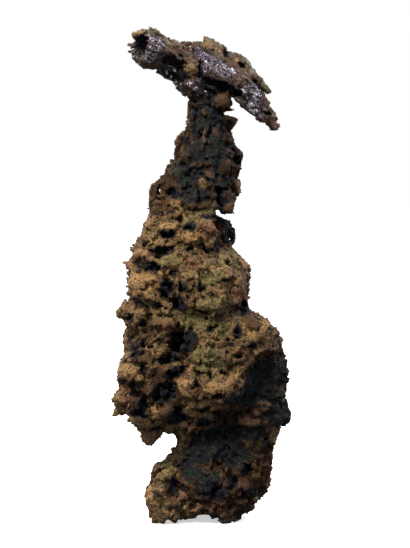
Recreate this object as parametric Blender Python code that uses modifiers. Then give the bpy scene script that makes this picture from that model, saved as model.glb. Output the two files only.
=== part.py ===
"""A dark crystal mass grown across the top of a porous ironstone matrix, standing on the matrix's foot.

Two solids: "matrix", the brown spongy column of host rock, and "crystal", the dark hollow-ended crystal
mass on it. Sizes below are in millimetres and are turned to metres as the meshes are made. +Z is up, the
front of the specimen faces -Y, and the origin is the middle of the foot, on the surface it stands on.
"""

import math
from dataclasses import dataclass

import bmesh
import bpy
from mathutils import Matrix, Vector

MM = 0.001

# The column's rings: the points in each, and how square its corners are (2 is an ellipse).
RING_POINTS = 20
CORNER_POWER = 2.4

# The rock's surface: the width and height of its lumps and of the knobs on them.
LUMP_SIZE = 5.5
LUMP_HEIGHT = 2.8
KNOB_SIZE = 2.4
KNOB_HEIGHT = 1.5
SHAPE_VOXEL = 0.9
SKIN_VOXEL = 1.05
MATRIX_TRIANGLES = 7200

# The crystal's surface: the width and height of its uneven facets.
FACET_SIZE = 3.0
FACET_HEIGHT = 0.9
CRYSTAL_VOXEL = 0.45
CRYSTAL_TRIANGLES = 1500

# The gap between the crystal and its seat in the rock, before the seat's own facets take some of it.
SEAT_GAP = 0.6
# Half the width of the block that cuts the foot flat.
GROUND_REACH = 40.0
# An edge sharper than this, in degrees, stays a crease.
CREASE_ANGLE = 50.0


@dataclass(frozen=True)
class Section:
    """One level of the matrix: its height, and how far it reaches left, right, forward and back."""

    z: float
    left: float
    right: float
    front: float
    back: float


@dataclass(frozen=True)
class Lump:
    """An ellipsoid that is added to the rock or cut from it."""

    centre: tuple
    radii: tuple
    turn: float = 0.0


@dataclass(frozen=True)
class Rod:
    """A tapering crystal: its two ends, the radius at each, and its breadth against its thickness."""

    start: tuple
    end: tuple
    start_radius: float
    end_radius: float
    flatness: float = 1.0
    sides: int = 8


# The matrix from its neck, under the crystal, down to its foot.
SECTIONS = (
    Section(105.5, -2.6, 6.4, -4.0, 4.2),
    Section(101.5, -3.2, 7.2, -4.8, 4.8),
    Section(97.0, -3.2, 7.4, -5.2, 5.2),
    Section(93.5, -5.4, 7.6, -5.8, 5.6),
    Section(89.0, -6.8, 8.6, -6.6, 6.2),
    Section(84.5, -9.0, 9.2, -7.6, 7.0),
    Section(80.5, -12.6, 9.2, -9.0, 8.0),
    Section(75.5, -12.6, 7.6, -10.6, 9.0),
    Section(71.5, -14.2, 7.6, -12.4, 9.8),
    Section(67.5, -16.6, 7.4, -13.8, 10.6),
    Section(64.0, -17.4, 9.8, -14.8, 11.2),
    Section(60.5, -17.8, 12.0, -15.6, 11.8),
    Section(53.5, -17.8, 11.6, -16.2, 12.4),
    Section(49.5, -18.2, 15.0, -16.6, 12.8),
    Section(44.5, -18.6, 19.4, -16.8, 13.2),
    Section(38.5, -19.4, 20.8, -16.6, 13.6),
    Section(32.0, -19.8, 21.0, -15.4, 13.8),
    Section(27.5, -20.6, 21.0, -13.8, 13.6),
    Section(24.6, -17.4, 21.2, -12.0, 13.2),
    Section(21.6, -9.6, 19.0, -10.2, 12.6),
    Section(18.0, -6.4, 17.4, -9.6, 12.2),
    Section(14.6, -8.6, 17.0, -10.4, 12.0),
    Section(12.0, -12.0, 16.8, -11.6, 11.8),
    Section(7.0, -13.6, 16.0, -12.8, 11.8),
    Section(3.0, -13.0, 13.2, -13.4, 11.6),
    Section(-2.0, -12.8, 11.4, -13.4, 11.4),
)

# Masses that stand out from that column.
BOSSES = (
    Lump((0.9, -14.4, 41.6), (5.6, 5.0, 5.4)),
    Lump((-12.0, -13.2, 57.0), (5.0, 4.6, 7.6)),
    Lump((2.4, -15.2, 57.0), (7.6, 4.2, 7.4)),
    Lump((1.5, -11.6, 70.2), (4.4, 3.8, 3.6)),
    Lump((-14.4, -11.6, 37.0), (4.8, 5.4, 6.4)),
    Lump((-12.6, -12.4, 28.6), (5.4, 4.6, 5.2)),
    Lump((-12.2, -6.5, 22.6), (2.7, 3.2, 3.4)),
    Lump((-19.6, -4.0, 29.2), (2.2, 3.0, 2.4)),
    Lump((-19.4, -3.0, 51.2), (1.9, 2.4, 1.9)),
    Lump((9.6, -12.6, 43.8), (8.8, 5.0, 5.0), -48.0),
    Lump((1.8, -14.4, 33.0), (7.6, 4.2, 4.4), -12.0),
    Lump((15.6, -3.6, 32.0), (5.8, 8.0, 11.0)),
    Lump((-9.8, -10.4, 6.5), (4.0, 4.0, 6.5), 12.0),
    Lump((7.8, -1.0, 97.5), (2.0, 1.6, 1.3), 20.0),
    Lump((8.8, 0.5, 89.2), (2.0, 1.6, 1.8), -15.0),
    Lump((7.2, 2.5, 69.2), (1.8, 2.4, 3.0)),
    Lump((5.3, -3.0, 101.8), (2.4, 2.4, 2.0)),
    Lump((-13.6, 4.0, 46.0), (5.6, 6.5, 9.0)),
    Lump((4.6, 9.5, 54.0), (6.6, 5.0, 9.0)),
    Lump((-5.0, 11.0, 33.0), (8.5, 4.6, 7.5)),
    Lump((8.6, 9.6, 14.0), (5.4, 4.2, 6.0)),
)

# Deep hollows in it: the trench left of the middle, the recess under the ledge, the split beside the neck
# and the arch between its feet.
HOLLOWS = (
    Lump((-7.0, -17.0, 34.0), (2.4, 4.8, 9.0), 26.0),
    Lump((-6.6, -15.4, 45.0), (2.8, 3.4, 3.4)),
    Lump((16.2, -15.0, 37.0), (4.2, 6.0, 8.0), 42.0),
    Lump((13.5, -15.2, 28.0), (8.0, 5.6, 5.6)),
    Lump((4.4, -13.0, 20.4), (8.5, 5.0, 5.4)),
    Lump((8.0, -2.0, 73.9), (3.0, 9.0, 1.3), -14.0),
    Lump((5.8, -7.6, 71.6), (1.5, 5.0, 3.4), -14.0),
    Lump((-14.4, -9.4, 20.4), (3.4, 3.6, 2.2)),
    Lump((-6.1, -13.6, 71.9), (2.2, 2.4, 1.2)),
    Lump((-8.6, -15.2, 67.5), (2.4, 2.6, 1.3), -12.0),
    Lump((-11.8, -16.4, 63.1), (3.8, 3.2, 1.4), 8.0),
    Lump((-3.0, 14.0, 52.0), (3.4, 3.6, 5.6), 24.0),
    Lump((10.5, 14.0, 34.0), (3.6, 3.4, 4.4), -18.0),
    Lump((-13.0, 12.0, 62.0), (3.0, 3.4, 2.4)),
    Lump((1.0, 12.4, 75.0), (2.6, 3.4, 3.2)),
    Lump((-1.2, -12.6, -0.4), (6.6, 10.0, 2.9)),
    Lump((15.2, -4.0, -0.6), (5.4, 18.0, 4.4)),
)

# The crystal mass: a hollow tube on the left, a keel that runs down into the neck, a spindle on the right
# and the plate that lies over it.
TUBE = Rod((-1.0, -0.4, 108.6), (-13.6, -6.4, 115.0), 4.6, 4.6)
TUBE_BORE = Rod((-9.4, -4.4, 112.9), (-16.6, -7.9, 116.5), 2.0, 2.9)
RODS = (
    Rod((-10.0, 2.6, 110.8), (-1.0, 0.6, 106.2), 1.8, 3.2, 1.3),
    Rod((-3.0, -0.6, 111.2), (9.8, -1.6, 105.4), 5.2, 4.2, 1.2),
    Rod((8.8, -1.5, 105.8), (18.2, -3.2, 96.8), 4.3, 1.1, 1.1),
    Rod((-2.6, 1.2, 114.2), (10.0, 1.8, 110.0), 3.0, 3.4, 1.5),
    Rod((9.0, 1.7, 110.2), (16.8, 1.6, 104.2), 3.3, 0.7, 1.4),
    Rod((-1.6, -1.4, 107.4), (-1.4, -1.8, 102.4), 2.8, 1.0, 0.9),
)
CRYSTAL_LUMPS = (
    Lump((2.2, 1.4, 114.8), (3.0, 3.2, 2.2), -20.0),
    Lump((9.6, 2.2, 112.0), (2.6, 2.6, 1.6), -28.0),
    Lump((-12.2, -5.4, 115.0), (4.2, 4.0, 4.6), 20.0),
)


def clear_scene():
    """Removes every object, so that the part starts from an empty scene."""
    for found in list(bpy.data.objects):
        bpy.data.objects.remove(found, do_unlink=True)


def new_collection(name):
    """Returns a collection of this name, linked to the scene."""
    made = bpy.data.collections.new(name)
    bpy.context.scene.collection.children.link(made)
    return made


def object_from(bm, name, collection):
    """Turns a bmesh into an object in the collection, its faces pointing out."""
    bmesh.ops.recalc_face_normals(bm, faces=bm.faces)
    mesh = bpy.data.meshes.new(name)
    bm.to_mesh(mesh)
    bm.free()
    made = bpy.data.objects.new(name, mesh)
    collection.objects.link(made)
    return made


def material(name, colour, roughness, metallic=0.0):
    """Returns a plain Principled material."""
    made = bpy.data.materials.new(name)
    made.use_nodes = True
    shader = made.node_tree.nodes["Principled BSDF"]
    shader.inputs["Base Color"].default_value = (*colour, 1.0)
    shader.inputs["Roughness"].default_value = roughness
    shader.inputs["Metallic"].default_value = metallic
    return made


def ring_point(section, turn):
    """Returns the point of a section at this angle, on a rounded box through its four reaches."""
    across, along = math.cos(turn), math.sin(turn)
    reach_x = (section.right - section.left) / 2
    middle_x = (section.right + section.left) / 2
    reach_y = section.back if along > 0 else -section.front
    power = 2 / CORNER_POWER
    return Vector((
        middle_x + reach_x * math.copysign(abs(across) ** power, across),
        reach_y * math.copysign(abs(along) ** power, along),
        section.z,
    )) * MM


def add_column(bm):
    """Lofts the matrix's column through its sections."""
    rings = []
    for section in SECTIONS:
        turns = (math.tau * step / RING_POINTS for step in range(RING_POINTS))
        rings.append([bm.verts.new(ring_point(section, turn)) for turn in turns])
    for upper, lower in zip(rings, rings[1:]):
        for step in range(RING_POINTS):
            after = (step + 1) % RING_POINTS
            bm.faces.new((upper[step], upper[after], lower[after], lower[step]))
    bm.faces.new(rings[0])
    bm.faces.new(list(reversed(rings[-1])))


def add_lump(bm, lump):
    """Adds an ellipsoid to the mesh, turned about the front-to-back axis."""
    radii = [radius * MM for radius in lump.radii]
    place = (
        Matrix.Translation(Vector(lump.centre) * MM)
        @ Matrix.Rotation(math.radians(lump.turn), 4, "Y")
        @ Matrix.Diagonal((*radii, 1.0))
    )
    bmesh.ops.create_icosphere(bm, subdivisions=3, radius=1.0, matrix=place)


def add_rod(bm, rod):
    """Adds a tapering prism between the rod's two ends."""
    start, end = Vector(rod.start) * MM, Vector(rod.end) * MM
    along = end - start
    turn = along.to_track_quat("Z", "Y").to_matrix().to_4x4()
    place = (
        Matrix.Translation((start + end) / 2)
        @ turn
        @ Matrix.Diagonal((rod.flatness, 1.0, 1.0, 1.0))
    )
    bmesh.ops.create_cone(
        bm,
        cap_ends=True,
        segments=rod.sides,
        radius1=rod.start_radius * MM,
        radius2=rod.end_radius * MM,
        depth=along.length,
        matrix=place,
    )


def add_box(bm, low, high):
    """Adds a box between two corners, in millimetres."""
    low, high = Vector(low) * MM, Vector(high) * MM
    size = high - low
    place = Matrix.Translation((low + high) / 2) @ Matrix.Diagonal((*size, 1.0))
    bmesh.ops.create_cube(bm, size=1.0, matrix=place)


def remesh(target, voxel):
    """Makes one even skin of all the shapes in the object."""
    modifier = target.modifiers.new("skin", "REMESH")
    modifier.mode = "VOXEL"
    modifier.voxel_size = voxel * MM


def displace(target, name, size, height):
    """Roughens the object with lumps of this size and height."""
    texture = bpy.data.textures.new(name, "CLOUDS")
    texture.noise_scale = size * MM
    texture.noise_depth = 1
    modifier = target.modifiers.new(name, "DISPLACE")
    modifier.texture = texture
    modifier.texture_coords = "LOCAL"
    modifier.strength = height * MM
    modifier.mid_level = 0.5


def boolean(target, cutter, operation="DIFFERENCE"):
    """Cuts the object by another, or joins the other to it."""
    modifier = target.modifiers.new(cutter.name, "BOOLEAN")
    modifier.operation = operation
    modifier.object = cutter


def hide_helper(helper):
    """Keeps a cutter out of the part."""
    helper.hide_render = True
    helper.display_type = "WIRE"


def apply_modifiers(target):
    """Turns what the modifiers show into the object's own mesh."""
    bpy.context.view_layer.update()
    graph = bpy.context.evaluated_depsgraph_get()
    shown = bpy.data.meshes.new_from_object(target.evaluated_get(graph))
    target.modifiers.clear()
    target.data = shown


def thin_to(target, triangles):
    """Merges the smallest facets until this many triangles are left."""
    apply_modifiers(target)
    bm = bmesh.new()
    bm.from_mesh(target.data)
    bmesh.ops.triangulate(bm, faces=bm.faces)
    now = len(bm.faces)
    bm.to_mesh(target.data)
    bm.free()
    modifier = target.modifiers.new("thin", "DECIMATE")
    modifier.ratio = min(1.0, triangles / now)
    apply_modifiers(target)


def stand_on_origin(solids):
    """Moves the meshes so that the middle of their box is over the origin and the foot is on it."""
    points = [vertex.co for solid in solids for vertex in solid.data.vertices]
    lowest = [min(point[axis] for point in points) for axis in range(3)]
    highest = [max(point[axis] for point in points) for axis in range(3)]
    middle = [(low + high) / 2 for low, high in zip(lowest, highest)]
    for solid in solids:
        solid.data.transform(Matrix.Translation((-middle[0], -middle[1], -lowest[2])))


def shade_faceted(target):
    """Shades the object smooth, with its sharper edges kept."""
    target.data.shade_smooth()
    target.data.set_sharp_from_angle(angle=math.radians(CREASE_ANGLE))


def build_crystal(parts, helpers):
    """Makes the crystal mass: intergrown tapering crystals, with the tube's end left hollow."""
    bm = bmesh.new()
    for rod in (TUBE, *RODS):
        add_rod(bm, rod)
    for lump in CRYSTAL_LUMPS:
        add_lump(bm, lump)
    crystal = object_from(bm, "crystal", parts)
    remesh(crystal, CRYSTAL_VOXEL)
    displace(crystal, "crystal_facets", FACET_SIZE, FACET_HEIGHT)
    bm = bmesh.new()
    add_rod(bm, TUBE_BORE)
    bore = object_from(bm, "tube_bore", helpers)
    hide_helper(bore)
    boolean(crystal, bore)
    remesh(crystal, CRYSTAL_VOXEL)
    thin_to(crystal, CRYSTAL_TRIANGLES)
    return crystal


def build_matrix(parts, helpers, crystal):
    """Makes the host rock: column, bosses and hollows, its foot cut flat and its top seated to the crystal."""
    bm = bmesh.new()
    add_column(bm)
    for lump in BOSSES:
        add_lump(bm, lump)
    matrix = object_from(bm, "matrix", parts)
    remesh(matrix, SHAPE_VOXEL)

    bm = bmesh.new()
    for lump in HOLLOWS:
        add_lump(bm, lump)
    hollows = object_from(bm, "hollows", helpers)
    remesh(hollows, SHAPE_VOXEL)
    hide_helper(hollows)
    boolean(matrix, hollows)
    displace(matrix, "rock_lumps", LUMP_SIZE, LUMP_HEIGHT)
    displace(matrix, "rock_knobs", KNOB_SIZE, KNOB_HEIGHT)
    remesh(matrix, SKIN_VOXEL)
    thin_to(matrix, MATRIX_TRIANGLES)

    bm = bmesh.new()
    add_box(bm, (-GROUND_REACH, -GROUND_REACH, -GROUND_REACH), (GROUND_REACH, GROUND_REACH, 0.0))
    ground = object_from(bm, "ground", helpers)
    hide_helper(ground)
    boolean(matrix, ground)

    seat = bpy.data.objects.new("crystal_seat", crystal.data.copy())
    helpers.objects.link(seat)
    hide_helper(seat)
    wider = seat.modifiers.new("gap", "DISPLACE")
    wider.strength = SEAT_GAP * MM
    wider.mid_level = 0.0
    boolean(matrix, seat)
    apply_modifiers(matrix)
    return matrix


def main():
    """Builds the specimen."""
    clear_scene()
    parts = new_collection("crystal_specimen")
    helpers = new_collection("cutters")
    crystal = build_crystal(parts, helpers)
    matrix = build_matrix(parts, helpers, crystal)
    crystal.data.materials.clear()
    matrix.data.materials.clear()
    crystal.data.materials.append(material("dark_crystal", (0.035, 0.030, 0.045), 0.28, 0.6))
    matrix.data.materials.append(material("ironstone", (0.115, 0.075, 0.035), 0.85))
    stand_on_origin((crystal, matrix))
    for solid in (crystal, matrix):
        shade_faceted(solid)


main()
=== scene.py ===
"""A dark, hollow-ended crystal mass grown across the top of a porous ironstone matrix.

The frame's two plain solids are sculpted here as clay. Each one's skin is read into a grid of distances,
knobs and pores are pressed on and into it, and it is skinned again as one fine mesh. Lengths are in
millimetres until a mesh is made. +Z is up, and the front of the specimen faces -Y.
"""

from __future__ import annotations

import logging
import math
from dataclasses import dataclass, field
from enum import Enum
from typing import Sequence

import bpy
import numpy as np
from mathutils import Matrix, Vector
from mathutils.bvhtree import BVHTree


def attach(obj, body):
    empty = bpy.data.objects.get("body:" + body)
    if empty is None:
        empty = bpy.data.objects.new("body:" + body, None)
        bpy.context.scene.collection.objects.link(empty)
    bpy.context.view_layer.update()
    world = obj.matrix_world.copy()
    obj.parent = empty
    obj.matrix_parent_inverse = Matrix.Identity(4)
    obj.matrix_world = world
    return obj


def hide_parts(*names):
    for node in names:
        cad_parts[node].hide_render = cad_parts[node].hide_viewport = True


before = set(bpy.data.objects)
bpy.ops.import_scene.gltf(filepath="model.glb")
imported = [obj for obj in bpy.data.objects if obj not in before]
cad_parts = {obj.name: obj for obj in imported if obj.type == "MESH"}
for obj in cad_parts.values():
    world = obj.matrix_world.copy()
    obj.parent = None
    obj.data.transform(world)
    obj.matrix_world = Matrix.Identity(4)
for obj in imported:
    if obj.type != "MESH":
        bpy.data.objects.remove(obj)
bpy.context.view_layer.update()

LOG = logging.getLogger("specimen")
MM = 0.001

Pair = tuple[float, float]
Triple = tuple[float, float, float]

# The eight corners of a grid cell, and the twelve edges between them.
CORNERS = np.array([(x, y, z) for x in (0, 1) for y in (0, 1) for z in (0, 1)])
EDGES = tuple(
    (one, two)
    for one in range(8)
    for two in range(one + 1, 8)
    if np.abs(CORNERS[one] - CORNERS[two]).sum() == 1
)
# The six sides of a box whose corners are in that order, seen from outside.
SIDES = np.array(((0, 1, 3, 2), (4, 6, 7, 5), (0, 4, 5, 1), (2, 3, 7, 6), (0, 2, 6, 4), (1, 5, 7, 3)))

# The side of the lattice of random values that a streak's pattern repeats over.
LATTICE = 48
# How many more values than cells a noise lattice has, so that its splines can reach past both ends.
SPLINE_SPARE = 5
# How far past a hit a ray sets out again.
RAY_STEP = 1e-3
# The least length that a direction is divided by, where it could be 0.
TINY, SMALL = 1e-9, 1e-6
# More cells than a grid has along any axis.
KEY_SPAN = 8192
# Where a listed mark fades out, as shares of its half size, and how sharply a zone does.
MARK_EDGE: Pair = (0.65, 1.35)
ZONE_FALL = 1.5
# Where a streak fades in over its zone's edge, and how far from the skin it is raised.
STREAK_EDGE: Pair = (0.05, 0.5)
STREAK_DEPTH = 1.2
# How many cells round a pressed shape are worked, and how many at the grid's rim hold no skin.
PRESS_RIM, GRID_RIM = 3.0, 2
# How near the skin a cell's middle is to be taken as a point on it, in cells.
SKIN_CELLS = 0.6
# Where the drawing of the outline fades in, from the middle out, and how near a level's end it may read.
DRAW_EDGE: Pair = (0.15, 0.9)
DRAW_END = 1.001
# How far along its half sizes a grain's corners lie.
CHIP_CORNERS: Pair = (0.45, 1.0)
# How far each colour's mottling is moved from the one under it, in metres.
MOTTLE_SHIFT: Pair = (0.013, 0.029)


class Patch(Enum):
    """The colours that lie in patches on the specimen, each by the name of its mask.

    The black and umber patches are partly painted shade, the tan ones are partly a painted highlight, and
    the glints are painted.
    """

    BLACK = "black_stain_and_painted_shade"
    OLIVE = "olive_stain"
    TAN = "tan_stain_and_painted_highlight"
    RUST = "rust_stain"
    UMBER = "umber_stain_and_painted_shade"
    FACE = "bare_face"
    GLINT = "painted_glint"
    PALE = "pale_grain"
    DARK = "dark_grain"


def linear(code: str) -> tuple[float, float, float, float]:
    """Turns an sRGB hex colour into linear light.

    Args:
        code: The colour, such as "#7a5c38".

    Returns:
        Red, green, blue and an alpha of 1.
    """
    parts = (int(code[place : place + 2], 16) / 255.0 for place in (1, 3, 5))
    light = [part / 12.92 if part <= 0.04045 else ((part + 0.055) / 1.055) ** 2.4 for part in parts]
    return (*light, 1.0)


def along_axis(values: np.ndarray, axis: int) -> np.ndarray:
    """Lays a row of values along one of a grid's three axes."""
    return values.reshape([-1 if other == axis else 1 for other in range(3)])


def resample(coarse: np.ndarray, places: Sequence[np.ndarray], smooth: bool) -> np.ndarray:
    """Reads a grid at other places along each of its axes.

    Args:
        coarse: The grid.
        places: For each axis, where to read it, in cells of the grid.
        smooth: True for a cubic spline through 4 cells, False for a straight line between 2.

    Returns:
        The grid at every combination of those places.
    """
    grid = coarse
    for axis, place in enumerate(places):
        base = np.floor(place).astype(int)
        part = (place - base).astype(np.float32)
        rest = 1.0 - part
        weights = (rest, part)
        if smooth:
            weights = (
                rest**3 / 6.0,
                (3.0 * part**3 - 6.0 * part**2 + 4.0) / 6.0,
                (3.0 * rest**3 - 6.0 * rest**2 + 4.0) / 6.0,
                part**3 / 6.0,
            )
        laid = [along_axis(weight, axis) for weight in weights]
        grid = sum(np.take(grid, base + step, axis) * weight for step, weight in enumerate(laid))
    return grid.astype(np.float32)


def between_cells(grid: np.ndarray, base: np.ndarray, part: np.ndarray) -> np.ndarray:
    """Reads a grid between its cells. Past its end the grid starts again.

    Args:
        grid: The grid.
        base: For each place, the cell below it.
        part: For each place, how far past that cell it is along each axis.

    Returns:
        The value at each place.
    """
    values = np.zeros(len(base))
    for corner in CORNERS:
        weight = np.prod(np.where(corner, part, 1.0 - part), axis=1)
        values += weight * grid[tuple(((base + corner) % grid.shape).T)]
    return values


def unit(rows: np.ndarray, least: float = 0.0) -> np.ndarray:
    """Returns each row brought to a length of 1, with this much added to the length it is divided by."""
    return rows / (np.linalg.norm(rows, axis=1, keepdims=True) + least)


def turns_along(normals: np.ndarray, wobble: float, rng: np.random.Generator) -> np.ndarray:
    """Returns turns whose third axis lies near each normal, with the other two at random round it.

    Args:
        normals: One direction a row.
        wobble: How far the third axis may lean, as a share of its length.
        rng: Where the leaning and turning come from.

    Returns:
        One 3 by 3 turn for each direction, its axes in its columns.
    """
    third = unit(normals + wobble * rng.standard_normal(normals.shape))
    first = unit(np.cross(rng.standard_normal(normals.shape), third))
    return np.stack([first, np.cross(third, first), third], axis=2)


def leaned(angle: float) -> np.ndarray:
    """Returns a turn by this angle in degrees in the plane of the front, its right end up."""
    turn = math.radians(angle)
    return np.array([(math.cos(turn), 0, -math.sin(turn)), (0, 1, 0), (math.sin(turn), 0, math.cos(turn))])


def random_field(places: np.ndarray, seed: int) -> np.ndarray:
    """Draws smooth random values at places, with a mean near 0.

    Args:
        places: One place a row, in steps between the values that are drawn.
        seed: What they are drawn from.

    Returns:
        The value at each place.
    """
    lattice = np.random.default_rng(seed).standard_normal((LATTICE, LATTICE, LATTICE))
    base = np.floor(places).astype(int)
    part = places - base
    return between_cells(lattice, base, part * part * (3.0 - 2.0 * part))


def ramp(values: np.ndarray, low: float, high: float) -> np.ndarray:
    """Returns how far each value is from low to high, from 0 to 1, with soft ends."""
    part = np.clip((values - low) / (high - low), 0.0, 1.0)
    return part * part * (3.0 - 2.0 * part)


@dataclass(frozen=True)
class Zone:
    """A soft-edged ellipsoid of space that a texture belongs to."""

    centre: Triple
    radii: Triple

    def cover(self, points: np.ndarray) -> np.ndarray:
        """Returns how much each point is in the zone: 1 well inside, 0.37 at its edge, 0 outside."""
        moved = points - np.array(self.centre)
        return np.exp(-((moved / np.array(self.radii)) ** 2).sum(axis=1) ** ZONE_FALL)


@dataclass(frozen=True)
class Mark:
    """A knob, a pore or a patch listed on the front.

    It holds its middle, its width and height, how many degrees its right end is turned up, and how deep it
    goes, with 0 for a depth that follows from its size.
    """

    x: float
    z: float
    wide: float
    tall: float
    lean: float = 0.0
    deep: float = 0.0

    def cover(self, points: np.ndarray) -> np.ndarray:
        """Returns how much each point lies behind the mark, seen from the front, from 0 to 1."""
        turned = (points - np.array((self.x, 0.0, self.z))) @ leaned(self.lean)
        size = np.hypot(2.0 * turned[:, 0] / self.wide, 2.0 * turned[:, 2] / self.tall)
        return 1.0 - ramp(size, *MARK_EDGE)


def marks(*rows: tuple[float, ...]) -> tuple[Mark, ...]:
    """Returns a mark for each row of its middle, width, height and, where it has them, lean and depth."""
    return tuple(Mark(*map(float, row)) for row in rows)


def rays(middle: Pair, reach: float, thick: float, leans: Sequence[float]) -> tuple[Mark, ...]:
    """Sets thin marks that run out from a middle.

    Args:
        middle: Where they start.
        reach: How far they run.
        thick: How thick they are.
        leans: The lean of each.

    Returns:
        The marks.
    """
    made = []
    for lean in leans:
        turn = math.radians(lean)
        x, z = middle[0] + 0.5 * reach * math.cos(turn), middle[1] + 0.5 * reach * math.sin(turn)
        made.append(Mark(x, z, reach, thick, lean))
    return tuple(made)


def cover(places: Sequence[Zone | Mark], points: np.ndarray) -> np.ndarray:
    """Finds how much each point is in any of the zones or behind any of the marks.

    Args:
        places: The zones or the marks.
        points: The points.

    Returns:
        The share of each point, from 0 to 1.
    """
    covered = np.zeros(len(points))
    for place in places:
        covered = np.maximum(covered, place.cover(points))
    return covered


@dataclass(frozen=True)
class Stamp:
    """How the listed marks of one kind are pressed, as shares of their sizes.

    The depth is a share of the size, and a little deeper. The middle sinks behind the skin. A pore's radii
    are more than half its mark, so that it stays as wide once its edge is blended.
    """

    depth: float
    deeper: float
    sink: float
    swell: float


KNOB = Stamp(0.7, 0.0, 0.25, 0.5)
PORE = Stamp(0.55, 0.4, 0.3, 0.6)


@dataclass(frozen=True)
class Tier:
    """One size of knob or pore, scattered over a skin.

    The chances are those of a place on plain skin, in the spongy zones and in the close-grained zones.
    """

    spacing: float
    smallest: float
    largest: float
    sink: float
    blend: float
    dig: bool
    plain: float
    spongy: float
    close: float
    blocky: bool = False
    long: float = 1.0


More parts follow.
